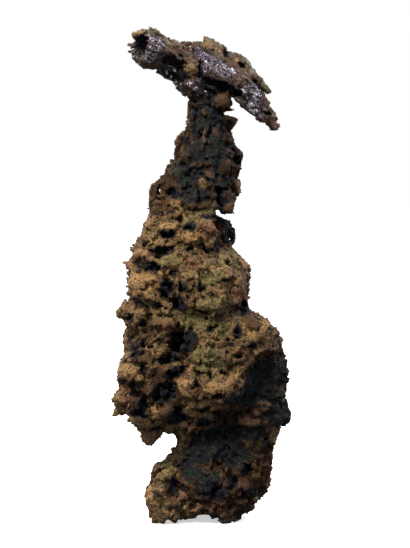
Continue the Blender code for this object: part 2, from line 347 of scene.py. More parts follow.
@dataclass
class Clay:
    """A grid of distances to a skin, in millimetres, negative inside it."""

    low: np.ndarray
    pitch: float
    grid: np.ndarray
    bend: np.ndarray
    look_round: float = 3.0

    @classmethod
    def from_solid(cls, solid: bpy.types.Object, pitch: float, margin: float, coarse: float) -> Clay:
        """Reads a closed mesh into clay.

        Args:
            solid: The object whose mesh is read.
            pitch: The size of a cell.
            margin: How much air is kept round the mesh.
            coarse: The size of the cells that the distances are measured at.

        Returns:
            The clay.
        """
        points = np.array([vertex.co for vertex in solid.data.vertices], dtype=float) / MM
        faces = [tuple(face.vertices) for face in solid.data.polygons]
        tree = BVHTree.FromPolygons([tuple(point) for point in points], faces)
        low, high = points.min(axis=0) - margin, points.max(axis=0) + margin
        axes = [np.arange(low[axis], high[axis] + 2.0 * coarse, coarse) for axis in range(3)]
        distance = np.array(
            [[[tree.find_nearest((x, y, z))[3] for z in axes[2]] for y in axes[1]] for x in axes[0]]
        )
        inside = sum(cls.crossings(tree, axes, axis) for axis in range(3)) >= 2
        distance[inside] *= -1.0
        counts = [int((high[axis] - low[axis]) / pitch) + 1 for axis in range(3)]
        places = [np.arange(count) * pitch / coarse for count in counts]
        return cls(low, pitch, resample(distance, places, False), np.zeros((3, *counts), np.float32))

    @staticmethod
    def crossings(tree: BVHTree, axes: Sequence[np.ndarray], axis: int) -> np.ndarray:
        """Finds which grid points are inside a mesh, by rays along one axis.

        Args:
            tree: The mesh's faces.
            axes: The grid's steps along each axis.
            axis: The axis that the rays run along.

        Returns:
            1 for each point of the grid that is inside, and 0 for the others.
        """
        across = [other for other in range(3) if other != axis]
        inside = np.zeros([len(steps) for steps in axes], dtype=int)
        ray = Vector([1.0 if other == axis else 0.0 for other in range(3)])
        for one, first in enumerate(axes[across[0]]):
            for two, second in enumerate(axes[across[1]]):
                start = Vector((0.0, 0.0, 0.0))
                start[axis], start[across[0]], start[across[1]] = axes[axis][0], first, second
                hits = []
                found = tree.ray_cast(start, ray)
                while found[0] is not None:
                    hits.append(found[0][axis])
                    found = tree.ray_cast(found[0] + ray * RAY_STEP, ray)
                place: list = [0, 0, 0]
                place[axis], place[across[0]], place[across[1]] = slice(None), one, two
                inside[tuple(place)] = np.searchsorted(hits, axes[axis]) % 2
        return inside

    def levels(self, axis: int) -> np.ndarray:
        """Returns how far along an axis each layer of cells is, laid along that axis."""
        steps = np.arange(self.grid.shape[axis], dtype=np.float32)
        return along_axis(self.low[axis] + self.pitch * steps, axis)

    def noise(self, size: float, seed: int, stretch: Sequence[float] = (1.0, 1.0, 1.0)) -> np.ndarray:
        """Draws smooth random values over the grid, with a mean near 0 and a spread of 1.

        Args:
            size: How far apart the values change.
            seed: What they are drawn from.
            stretch: How much longer the pattern is along each axis.

        Returns:
            The value of each cell.
        """
        shape = self.grid.shape
        places = [np.arange(shape[axis]) * self.pitch / (size * stretch[axis]) for axis in range(3)]
        counts = [int(place[-1]) + SPLINE_SPARE for place in places]
        lattice = np.random.default_rng(seed).standard_normal(counts)
        values = resample(lattice.astype(np.float32), places, True)
        return values / values.std()

    def wrinkle(self, size: float, reach: float, seed: int) -> None:
        """Sets how far the shapes that are pressed from now on are bent out of true."""
        self.bend = np.stack([self.noise(size, seed + axis) * np.float32(reach) for axis in range(3)])

    def streak(
        self, along: Triple, length: float, width: float, height: float, seed: int, where: Zone
    ) -> None:
        """Raises and lowers the skin in long streaks.

        Args:
            along: The streaks' direction.
            length: How long they are.
            width: How far apart they are.
            height: How much they raise the skin.
            seed: What they are drawn from.
            where: The zone that they are in.
        """
        cells = np.argwhere(np.abs(self.grid) < STREAK_DEPTH)
        points = self.low + cells * self.pitch
        first = np.array(along) / np.linalg.norm(along)
        second = np.cross((0.0, 1.0, 0.0), first)
        second /= np.linalg.norm(second)
        turned = points @ np.stack([first, second, np.cross(first, second)], axis=1)
        values = random_field(turned / np.array((length, width, width)), seed)
        ridges = 1.0 - 2.0 * np.abs(values)
        share = ramp(where.cover(points), *STREAK_EDGE)
        self.grid[tuple(cells.T)] -= (height * ridges * share).astype(np.float32)

    def press(
        self,
        centre: np.ndarray,
        radii: Sequence[float],
        turn: np.ndarray,
        blend: float,
        dig: bool,
        blocky: bool = False,
    ) -> None:
        """Adds an ellipsoid of clay, or takes one away.

        Args:
            centre: Its middle.
            radii: Its three radii.
            turn: Its three axes, in columns.
            blend: How widely it runs into the skin round it.
            dig: True to take it away.
            blocky: True for a rounded block in place of an ellipsoid.
        """
        reach = max(radii) + blend + PRESS_RIM * self.pitch
        first = np.maximum(np.floor((centre - reach - self.low) / self.pitch).astype(int), 0)
        last = np.minimum(np.ceil((centre + reach - self.low) / self.pitch).astype(int), self.grid.shape)
        if (last - first < 1).any():
            return
        window = tuple(slice(one, two) for one, two in zip(first, last))
        offsets = []
        for axis in range(3):
            steps = self.low[axis] + self.pitch * np.arange(first[axis], last[axis]) - centre[axis]
            offsets.append(along_axis(steps.astype(np.float32), axis) + self.bend[axis][window])
        scaled = [
            sum(turn[other][axis] * offsets[other] for other in range(3)) / radii[axis] for axis in range(3)
        ]
        squares = [part * part for part in scaled]
        if blocky:
            size = np.sqrt(np.sqrt(sum(part * part for part in squares)))
        else:
            size = np.sqrt(sum(squares))
        slope = np.sqrt(sum(part / radius**2 for part, radius in zip(squares, radii))) + SMALL
        shape = size * (size - 1.0) / slope
        old = self.grid[window]
        if dig:
            near = np.maximum(blend - np.abs(old + shape), 0.0) / blend
            self.grid[window] = np.maximum(old, -shape) + near * near * (blend / 4.0)
        else:
            near = np.maximum(blend - np.abs(old - shape), 0.0) / blend
            self.grid[window] = np.minimum(old, shape) - near * near * (blend / 4.0)

    def skin_points(self, spacing: float, rng: np.random.Generator) -> tuple[np.ndarray, np.ndarray]:
        """Spreads points over the skin.

        Args:
            spacing: About how far apart they are.
            rng: What picks them.

        Returns:
            The points, and the outward direction at each.
        """
        middle = self.grid[GRID_RIM:-GRID_RIM, GRID_RIM:-GRID_RIM, GRID_RIM:-GRID_RIM]
        cells = np.argwhere(np.abs(middle) < SKIN_CELLS * self.pitch) + GRID_RIM
        cells = cells[rng.permutation(len(cells))]
        bins = np.floor(cells * (self.pitch / spacing)).astype(np.int64)
        keys = (bins[:, 0] * KEY_SPAN + bins[:, 1]) * KEY_SPAN + bins[:, 2]
        cells = cells[np.unique(keys, return_index=True)[1]]
        normals = np.empty((len(cells), 3))
        for axis, step in enumerate(np.eye(3, dtype=int)):
            after, before = cells + step, cells - step
            normals[:, axis] = self.grid[tuple(after.T)] - self.grid[tuple(before.T)]
        return self.low + cells * self.pitch, unit(normals, TINY)

    def front(self, x: float, z: float) -> float:
        """Finds the foremost skin behind a place on the front, or behind the nearest place that has some.

        Args:
            x: How far right the place is.
            z: How high it is.

        Returns:
            The skin's place along Y.
        """
        column = (int(round((x - self.low[0]) / self.pitch)), int(round((z - self.low[2]) / self.pitch)))
        reach = int(round(self.look_round / self.pitch))
        first = [max(place - reach, 0) for place in column]
        window = self.grid[first[0] : column[0] + reach + 1, :, first[1] : column[1] + reach + 1]
        inside = window < 0.0
        filled = np.argwhere(inside.any(axis=1))
        gaps = ((filled + first - np.array(column)) ** 2).sum(axis=1)
        nearest = filled[gaps.argmin()]
        return self.low[1] + self.pitch * inside[nearest[0], :, nearest[1]].argmax()

    def behind(self, block: np.ndarray, points: np.ndarray) -> np.ndarray:
        """Finds how far behind the foremost skin of a block each point is, seen from the front.

        Args:
            block: The block's distances.
            points: The points.

        Returns:
            The distance of each, and 0 where the block has no skin in front of it.
        """
        inside = block < 0.0
        foremost = self.low[1] + self.pitch * inside.argmax(axis=1)
        places = np.rint((points - self.low) / self.pitch).astype(int)
        across = np.clip(places[:, 0], 0, foremost.shape[0] - 1)
        up = np.clip(places[:, 2], 0, foremost.shape[1] - 1)
        return np.where(inside.any(axis=1)[across, up], points[:, 1] - foremost[across, up], 0.0)

    def hold_within(self, block: np.ndarray, proud: float) -> None:
        """Trims the clay back to this far outside the block that it was sculpted from."""
        self.grid = np.maximum(self.grid, block - proud)

    def set_marks(self, places: Sequence[Mark], dig: bool, blend: float) -> None:
        """Presses knobs or pores that are listed on the front.

        Args:
            places: Their marks.
            dig: True for pores.
            blend: How widely they run into the skin round them.
        """
        stamp = PORE if dig else KNOB
        for mark in places:
            size = 0.5 * (mark.wide + mark.tall) if dig else min(mark.wide, mark.tall)
            radii = (
                mark.wide * stamp.swell,
                mark.deep or stamp.depth * size + stamp.deeper,
                mark.tall * stamp.swell,
            )
            centre = np.array((mark.x, self.front(mark.x, mark.z) + stamp.sink * size, mark.z))
            self.press(centre, radii, leaned(mark.lean), blend, dig, not dig)

    def fit_outline(self, rows: Sequence[Triple], most: float, smoothing: float) -> None:
        """Draws the skin sideways, level by level, until it reaches as far left and right as it should.

        Args:
            rows: Heights, from the highest down, each with how far left and right the skin reaches there.
            most: The furthest that the skin is drawn.
            smoothing: The height over which the drawing is evened out.
        """
        heights = self.low[2] + self.pitch * np.arange(self.grid.shape[2])
        across = self.low[0] + self.pitch * np.arange(self.grid.shape[0])
        levels, *sides = np.array(rows[::-1]).T
        wanted = [np.interp(heights, levels, side) for side in sides]
        shadow = (self.grid < 0.0).any(axis=1)
        filled = shadow.any(axis=0)
        ends = (across[shadow.argmax(axis=0)], across[::-1][shadow[::-1].argmax(axis=0)])
        covered = filled & (heights > levels[0]) & (heights < levels[-1])
        width = 2 * max(1, int(round(smoothing / self.pitch / 2.0))) + 1
        shifts = []
        for goal, end in zip(wanted, ends):
            shift = np.where(covered, np.clip(goal - end, -most, most), 0.0)
            shifts.append(np.convolve(shift, np.ones(width) / width, mode="same"))
        middle = (wanted[0] + wanted[1]) / 2.0
        for level in np.flatnonzero(filled):
            part = (across - middle[level]) / (wanted[1][level] - middle[level])
            shift = np.where(part > 0.0, shifts[1][level], shifts[0][level])
            pull = shift * ramp(np.abs(part), *DRAW_EDGE)
            place = np.clip(np.arange(len(across)) - pull / self.pitch, 0.0, len(across) - DRAW_END)
            base = place.astype(int)
            share = (place - base).astype(np.float32)[:, None]
            layer = self.grid[:, :, level]
            self.grid[:, :, level] = layer[base] * (1.0 - share) + layer[base + 1] * share

    def read(self, grid: np.ndarray, points: np.ndarray) -> np.ndarray:
        """Reads a grid as large as the clay at points, straight between the cells.

        Args:
            grid: The grid.
            points: The points.

        Returns:
            The value at each.
        """
        places = (points - self.low) / self.pitch
        base = np.clip(np.floor(places).astype(int), 0, np.array(grid.shape) - 2)
        return between_cells(grid, base, np.clip(places - base, 0.0, 1.0))

    def air(self, reach: float) -> np.ndarray:
        """Measures the air round each cell.

        Args:
            reach: About how far it is measured.

        Returns:
            The share of air within that reach of each cell.
        """
        share = np.clip(self.grid / self.pitch + 0.5, 0.0, 1.0).astype(np.float32)
        half = max(1, int(round(reach / self.pitch)))
        for axis in (0, 1, 2, 0, 1, 2):
            pads = [(half + 1, half) if other == axis else (0, 0) for other in range(3)]
            total = np.cumsum(np.pad(share, pads, constant_values=1.0), axis=axis, dtype=np.float64)
            width = 2 * half + 1
            count = share.shape[axis]
            ahead = np.take(total, np.arange(width, width + count), axis)
            behind = np.take(total, np.arange(count), axis)
            share = ((ahead - behind) / width).astype(np.float32)
        return share

    def skin(self) -> tuple[np.ndarray, np.ndarray]:
        """Skins the clay.

        Returns:
            The points and the four-sided faces of its skin.
        """
        inside = self.grid < 0.0
        spans = np.array(inside.shape) - 1
        count = np.zeros(spans, np.uint8)
        for corner in CORNERS:
            count += inside[tuple(slice(step, step + span) for step, span in zip(corner, spans))]
        active = (count > 0) & (count < len(CORNERS))
        cells = np.argwhere(active)
        number = np.full(active.shape, -1, np.int64)
        number[active] = np.arange(len(cells))
        values = [self.grid[tuple((cells + corner).T)] for corner in CORNERS]
        total, hits = np.zeros((len(cells), 3)), np.zeros((len(cells), 1))
        for one, two in EDGES:
            crossed = (values[one] < 0.0) != (values[two] < 0.0)
            gap = np.where(crossed, values[one] - values[two], 1.0)
            along = np.where(crossed, values[one] / gap, 0.0)[:, None]
            total += (CORNERS[one] + along * (CORNERS[two] - CORNERS[one])) * crossed[:, None]
            hits += crossed[:, None]
        points = self.low + self.pitch * (cells + total / hits)
        faces = []
        step = np.eye(3, dtype=int)
        for axis in range(3):
            right, up = step[(axis + 1) % 3], step[(axis + 2) % 3]
            before = tuple(slice(0, -1) if other == axis else slice(1, -1) for other in range(3))
            after = tuple(slice(1, None) if other == axis else slice(1, -1) for other in range(3))
            edges = np.argwhere(inside[before] != inside[after]) + (1 - step[axis])
            ring = [edges - right - up, edges - up, edges, edges - right]
            quads = np.stack([number[tuple(cell.T)] for cell in ring], axis=1)
            outward = inside[tuple(edges.T)]
            faces.append(np.where(outward[:, None], quads, quads[:, ::-1]))
        return points, np.concatenate(faces)


def largest_body(points: np.ndarray, faces: np.ndarray) -> tuple[np.ndarray, np.ndarray]:
    """Keeps the largest connected skin and drops loose crumbs and sealed bubbles.

    Args:
        points: The skin's points.
        faces: Its faces, by point.

    Returns:
        The points and faces that are left.
    """
    label = np.arange(len(points))
    while True:
        lowest = label[faces].min(axis=1)
        after = label.copy()
        for column in range(faces.shape[1]):
            np.minimum.at(after, faces[:, column], lowest)
        after = after[after]
        if (after == label).all():
            break
        label = after
    names, counts = np.unique(label, return_counts=True)
    kept = label == names[counts.argmax()]
    renumber = np.cumsum(kept) - 1
    return points[kept], renumber[faces[kept[faces[:, 0]]]]


def new_object(name: str, points: np.ndarray, faces: np.ndarray) -> bpy.types.Object:
    """Makes a mesh object.

    Args:
        name: Its name.
        points: Its points, in millimetres.
        faces: Its faces by point, all with equally many corners.

    Returns:
        The object, in the scene.
    """
    mesh = bpy.data.meshes.new(name)
    mesh.from_pydata((points * MM).tolist(), [], faces.tolist())
    made = bpy.data.objects.new(name, mesh)
    bpy.context.scene.collection.objects.link(made)
    return made


def chips(
    centres: np.ndarray, turns: np.ndarray, sizes: np.ndarray, rng: np.random.Generator
) -> tuple[np.ndarray, np.ndarray]:
    """Makes many small broken blocks, each with its own uneven corners.

    Args:
        centres: The middle of each.
        turns: The three axes of each, in columns.
        sizes: Half of each one's size along those axes.
        rng: Where the unevenness comes from.

    Returns:
        The points and the four-sided faces of all the blocks, in order.
    """
    shares = rng.uniform(*CHIP_CORNERS, (len(centres), len(CORNERS), 3))
    corners = (CORNERS * 2.0 - 1.0) * shares * sizes[:, None, :]
    points = centres[:, None, :] + corners @ turns.transpose(0, 2, 1)
    faces = np.arange(len(centres))[:, None, None] * len(CORNERS) + SIDES
    return points.reshape(-1, 3), faces.reshape(-1, 4)


def thin(target: bpy.types.Object, triangles: int) -> None:
    """Merges a mesh's smallest facets.

    Args:
        target: The object whose mesh it is.
        triangles: About how many triangles are left.
    """
    corners = sum(len(face.vertices) - 2 for face in target.data.polygons)
    modifier = target.modifiers.new("thin", "DECIMATE")
    modifier.ratio = min(1.0, triangles / corners)
    modifier.use_collapse_triangulate = True
    graph = bpy.context.evaluated_depsgraph_get()
    shown = bpy.data.meshes.new_from_object(target.evaluated_get(graph))
    target.modifiers.clear()
    target.data = shown
    shown.name = target.name


def mesh_points(target: bpy.types.Object) -> np.ndarray:
    """Reads an object's mesh.

    Args:
        target: The object.

    Returns:
        Its points, in millimetres.
    """
    flat = np.empty(len(target.data.vertices) * 3, np.float32)
    target.data.vertices.foreach_get("co", flat)
    return flat.reshape(-1, 3).astype(float) / MM


def set_mask(target: bpy.types.Object, name: str, values: np.ndarray) -> None:
    """Keeps one number a point on the mesh, for a material to read."""
    layer = target.data.attributes.new(name, "FLOAT", "POINT")
    layer.data.foreach_set("value", values.astype(np.float32))


def stand(target: bpy.types.Object, place: Vector, facing: Vector) -> None:
    """Stands a lamp or a camera in the scene.

    Args:
        target: The lamp or the camera.
        place: Where it stands, in millimetres.
        facing: The direction that it faces.
    """
    target.location = place * MM
    target.rotation_mode = "QUATERNION"
    target.rotation_quaternion = facing.to_track_quat("-Z", "Y")
    bpy.context.scene.collection.objects.link(target)


def add_node(
    tree: bpy.types.NodeTree,
    kind: str,
    settings: dict[str, object],
    inputs: dict[int | str, object],
) -> bpy.types.Node:
    """Adds a node to a tree.

    Args:
        tree: The tree.
        kind: The node's type.
        settings: What is set on the node itself.
        inputs: For each of its inputs, the socket that feeds it or the value it holds.

    Returns:
        The node.
    """
    node = tree.nodes.new(kind)
    for name, value in settings.items():
        setattr(node, name, value)
    for place, value in inputs.items():
        if isinstance(value, bpy.types.NodeSocket):
            tree.links.new(value, node.inputs[place])
        else:
            node.inputs[place].default_value = value
    return node


@dataclass(frozen=True)
class Layer:
    """One colour laid over those before it, where its mask and its own mottling are strong.

    The mask is a mesh's mask by name, or none. The mottling's size is in millimetres. The colour comes in
    from low to high of the mask plus the mottling. A multiplied colour darkens what is under it and doesn't
    hide it.
    """

    colour: str
    size: float
    low: float
    high: float
    mask: str = ""
    amount: float = 1.0
    wobble: float = 1.0
    detail: float = 3.0
    blend: str = "MIX"


def lay_colours(tree: bpy.types.NodeTree, ground: str, layers: Sequence[Layer]) -> bpy.types.NodeSocket:
    """Builds the nodes for a stack of colours.

    Args:
        tree: The material's tree.
        ground: The lowest colour.
        layers: The colours over it, from the lowest up.

    Returns:
        The socket with the finished colour.
    """
    place = add_node(tree, "ShaderNodeTexCoord", {}, {}).outputs["Object"]
    colour: object = linear(ground)
    for order, layer in enumerate(layers):
        shift = (MOTTLE_SHIFT[0] * order, MOTTLE_SHIFT[1] * order, 0.0)
        shifted = add_node(tree, "ShaderNodeVectorMath", {}, {0: place, 1: shift}).outputs[0]
        mottle = {"Vector": shifted, "Scale": 1.0 / (layer.size * MM), "Detail": layer.detail}
        mottling = add_node(tree, "ShaderNodeTexNoise", {}, mottle).outputs[0]
        base: object = 0.0
        if layer.mask:
            base = add_node(tree, "ShaderNodeAttribute", {"attribute_name": layer.mask}, {}).outputs["Fac"]
        joined = {0: mottling, 1: layer.wobble, 2: base}
        mixed = add_node(tree, "ShaderNodeMath", {"operation": "MULTIPLY_ADD"}, joined).outputs[0]
        limits = {0: mixed, 1: layer.low, 2: layer.high, 3: 0.0, 4: layer.amount}
        soft = {"interpolation_type": "SMOOTHSTEP"}
        share = add_node(tree, "ShaderNodeMapRange", soft, limits).outputs[0]
        settings = {"data_type": "RGBA", "blend_type": layer.blend}
        laid = {0: share, 6: colour, 7: linear(layer.colour)}
        colour = add_node(tree, "ShaderNodeMix", settings, laid).outputs[2]
    return colour


@dataclass(frozen=True)
class Finish:
    """A finish of the specimen: a stack of colours and a bump, on a plain shader."""

    name: str
    ground: str
    layers: tuple[Layer, ...]
    roughness: float
    specular: float

    def height(
        self, tree: bpy.types.NodeTree, place: bpy.types.NodeSocket
    ) -> tuple[bpy.types.NodeSocket, float]:
        """Returns the bump's pattern and how high it stands, in millimetres."""
        raise NotImplementedError

    def shine(self, tree: bpy.types.NodeTree, shader: bpy.types.Node) -> None:
        """Sets what the finish shines with, beyond its one roughness."""

    def build(self) -> bpy.types.Material:
        """Builds the finish.

        Returns:
            The material.
        """
        material = bpy.data.materials.new(self.name)
        material.use_nodes = True
        tree = material.node_tree
        shader = tree.nodes["Principled BSDF"]
        tree.links.new(lay_colours(tree, self.ground, self.layers), shader.inputs["Base Color"])
        shader.inputs["Roughness"].default_value = self.roughness
        shader.inputs["Specular IOR Level"].default_value = self.specular
        self.shine(tree, shader)
        place = add_node(tree, "ShaderNodeTexCoord", {}, {}).outputs["Object"]
        pattern, high = self.height(tree, place)
        relief = {"Strength": 1.0, "Distance": high * MM, "Height": pattern}
        tree.links.new(add_node(tree, "ShaderNodeBump", {}, relief).outputs[0], shader.inputs["Normal"])
        return material


@dataclass(frozen=True)
class WeatheredLimonite(Finish):
    """Limonite crust, weathered in the open: matt umber to tan, black in its pores as painted shade, with
    olive and rust.

    The eye sees a dry, dull, granular brown with no shine, painted paler on open ridges and knobs as if
    lit. Its grains are 0.05 to
    0.5 mm, and only the coarser half is drawn.
    """

    name: str = "weathered limonite crust"
    ground: str = "#35291c"
    layers: tuple[Layer, ...] = (
        Layer("#4f3c27", 2.4, 0.42, 0.58),
        Layer("#5c3d2a", 1.5, 0.51, 0.61, amount=0.7),
        Layer("#6c5938", 0.9, 0.50, 0.60, amount=0.75),
        Layer("#56542b", 1.2, 0.53, 0.62, amount=0.65),
        Layer("#625f3a", 0.9, 0.60, 1.00, Patch.OLIVE.value, 0.75),
        # Tan: the crust's own colour, and a painted highlight on the proud knobs and the ledge, with
        # painted light on the foot's right end.
        Layer("#917248", 0.7, 0.80, 1.20, Patch.TAN.value, 0.78),
        Layer("#633d2c", 0.8, 0.70, 1.10, Patch.RUST.value, 0.8),
        # Painted light: paler where the skin is open to the air and on the knobs listed on the front, as if
        # lit.
        Layer("#8c6f52", 0.6, 1.20, 1.50, "openness", 0.3),
        Layer("#a3815c", 0.6, 0.59, 0.66, amount=0.5),
        Layer("#bb9f7c", 0.36, 0.62, 0.67, amount=0.7),
        Layer("#a38c66", 0.8, 0.95, 1.35, Patch.PALE.value, 0.45, wobble=0.6),
        Layer("#1b1610", 0.6, 0.53, 0.62, amount=0.7),
        # Umber, multiplied in: the neck's own dark crust, and painted shade on the lobe under the ledge,
        # the waist and the foot's middle.
        Layer("#7f7775", 0.9, 0.60, 1.00, Patch.UMBER.value, 0.95, blend="MULTIPLY"),
        # Black and teal: the neck's own dark stain, and painted shade in the pores, under the ledge and in
        # the waist.
        Layer("#0e1821", 0.6, 1.34, 1.56, Patch.BLACK.value, 0.92),
        Layer("#17251f", 1.3, 1.46, 1.60, Patch.BLACK.value, 0.7),
        Layer("#17120d", 0.8, 0.95, 1.35, Patch.DARK.value, 0.6, wobble=0.6),
        # Painted shade: blue-black in the pores and the deep, closed-in hollows.
        Layer("#0a101a", 0.8, 0.45, 1.35, "pore", 0.87, wobble=0.8),
        # Painted light: a brown floor on open ridges, so that they read lit against the dark hollows.
        Layer("#4f3d2d", 0.4, 1.56, 1.66, "openness", 0.8, blend="LIGHTEN"),
        Layer("#5e4536", 0.45, 0.61, 0.70, amount=0.5, blend="LIGHTEN"),
    )
    roughness: float = 0.78
    specular: float = 0.1
    grain_size: float = 0.5
    grit_size: float = 0.24
    grit_detail: float = 2.0
    grain_height: float = 0.22

    def height(
        self, tree: bpy.types.NodeTree, place: bpy.types.NodeSocket
    ) -> tuple[bpy.types.NodeSocket, float]:
        """Builds the grains.

        Args:
            tree: The material's tree.
            place: The socket with the place that is shaded.

        Returns:
            The socket with their pattern, and how high they stand, in millimetres.
        """
        coarse = {"Vector": place, "Scale": 1.0 / (self.grain_size * MM)}
        grains = add_node(tree, "ShaderNodeTexVoronoi", {}, coarse).outputs["Distance"]
        fine = {"Vector": place, "Scale": 1.0 / (self.grit_size * MM), "Detail": self.grit_detail}
        grit = add_node(tree, "ShaderNodeTexNoise", {}, fine).outputs[0]
        joined = add_node(tree, "ShaderNodeMath", {"operation": "SUBTRACT"}, {0: grit, 1: grains})
        return joined.outputs[0], self.grain_height


@dataclass(frozen=True)
class StriatedOxide(Finish):
    """A dark oxide crystal's own growth faces: near-metallic and striated, under a brown film of limonite.

    The eye sees a hard, broken glitter of silver and lilac along fine ridges where the film has worn off,
    partly real shine and partly painted glints, dull brown where it is whole, and black painted shade in
    the gaps and the tube's mouth.
    """

    name: str = "striated metallic oxide crystal"
    ground: str = "#33281f"
    layers: tuple[Layer, ...] = (
        Layer("#483528", 1.6, 0.42, 0.60),
        Layer("#675039", 0.7, 0.54, 0.66, amount=0.7),
        Layer("#573f2c", 0.8, 0.65, 1.05, Patch.RUST.value, 0.8),
        Layer("#686042", 0.7, 0.70, 1.10, Patch.OLIVE.value, 0.8),
        # Tan: the film's own colour, and partly a painted highlight on knob tops.
        Layer("#7d653f", 0.7, 0.75, 1.15, Patch.TAN.value, 0.85),
        Layer("#1e1814", 0.55, 0.53, 0.61, amount=0.65),
        Layer("#8a6c42", 0.4, 0.61, 0.68, amount=0.45),
        Layer("#282127", 0.8, 0.90, 1.30, Patch.FACE.value, 0.8, wobble=1.2),
        # Pale lilac flecks on the bare faces: painted glints over the faces' own grey-lilac.
        Layer("#a79ca9", 0.36, 1.53, 1.69, Patch.FACE.value, 0.85, wobble=1.1),
        Layer("#a89a94", 0.6, 0.95, 1.35, Patch.PALE.value, 0.5, wobble=0.6),
        Layer("#15141a", 0.42, 0.52, 0.60, amount=0.62),
        Layer("#17151a", 0.6, 0.95, 1.35, Patch.DARK.value, 0.6, wobble=0.6),
        # Near-black: painted shade in the gaps under the plates and the spindle and in the mouth, with the
        # dark lines round the mouth.
        Layer("#0f1117", 1.2, 0.70, 1.30, Patch.BLACK.value, 0.95),
        # Painted glints: pale grey flecks in the dark gaps, where light would catch.
        Layer("#aeb2b8", 0.5, 0.90, 1.30, Patch.GLINT.value, 0.9, wobble=0.8),
        # Painted shade: near-black in the pores and the tube's mouth.
        Layer("#0b0b0e", 1.0, 0.55, 1.05, "pore", 0.95, wobble=0.5),
    )
    roughness: float = 0.6
    specular: float = 0.35
    metallic: float = 0.1
    bare_roughness: float = 0.4
    bare_metallic: float = 0.42
    bare_edge: Pair = (0.2, 0.8)
    striation_size: float = 0.4
    striation_detail: float = 3.0
    striation_lean: float = -32.0
    striation_stretch: Triple = (0.3, 1.0, 1.0)
    striation_height: float = 0.1

    def shine(self, tree: bpy.types.NodeTree, shader: bpy.types.Node) -> None:
        """Makes the bare faces more metallic and smoother than the film.

        Args:
            tree: The material's tree.
            shader: Its shader.
        """
        named = {"attribute_name": Patch.FACE.value}
        bare = add_node(tree, "ShaderNodeAttribute", named, {}).outputs["Fac"]
        low, high = self.bare_edge
        for socket, film, face in (
            ("Roughness", self.roughness, self.bare_roughness),
            ("Metallic", self.metallic, self.bare_metallic),
        ):
            mapped = add_node(tree, "ShaderNodeMapRange", {}, {0: bare, 1: low, 2: high, 3: film, 4: face})
            tree.links.new(mapped.outputs[0], shader.inputs[socket])

    def height(
        self, tree: bpy.types.NodeTree, place: bpy.types.NodeSocket
    ) -> tuple[bpy.types.NodeSocket, float]:
        """Builds the striations.

        Args:
            tree: The material's tree.
            place: The socket with the place that is shaded.

        Returns:
            The socket with their pattern, and how high they stand, in millimetres.
        """
        tilt = {0: place, 2: (0.0, math.radians(self.striation_lean), 0.0), 3: self.striation_stretch}
        along = add_node(tree, "ShaderNodeMapping", {}, tilt).outputs[0]
        fine = {"Vector": along, "Scale": 1.0 / (self.striation_size * MM), "Detail": self.striation_detail}
        return add_node(tree, "ShaderNodeTexNoise", {}, fine).outputs[0], self.striation_height


@dataclass(frozen=True)
class Swell:
    """Smooth random swells of a skin: their width, height and seed, and how stretched they are."""

    wide: float
    high: float
    seed: int
    stretch: Triple = (1.0, 1.0, 1.0)

    def over(self, clay: Clay, share: np.ndarray | float = 1.0) -> np.ndarray:
        """Returns the swells over the clay's grid, each cell with this share of them."""
        return self.high * share * clay.noise(self.wide, self.seed, self.stretch)


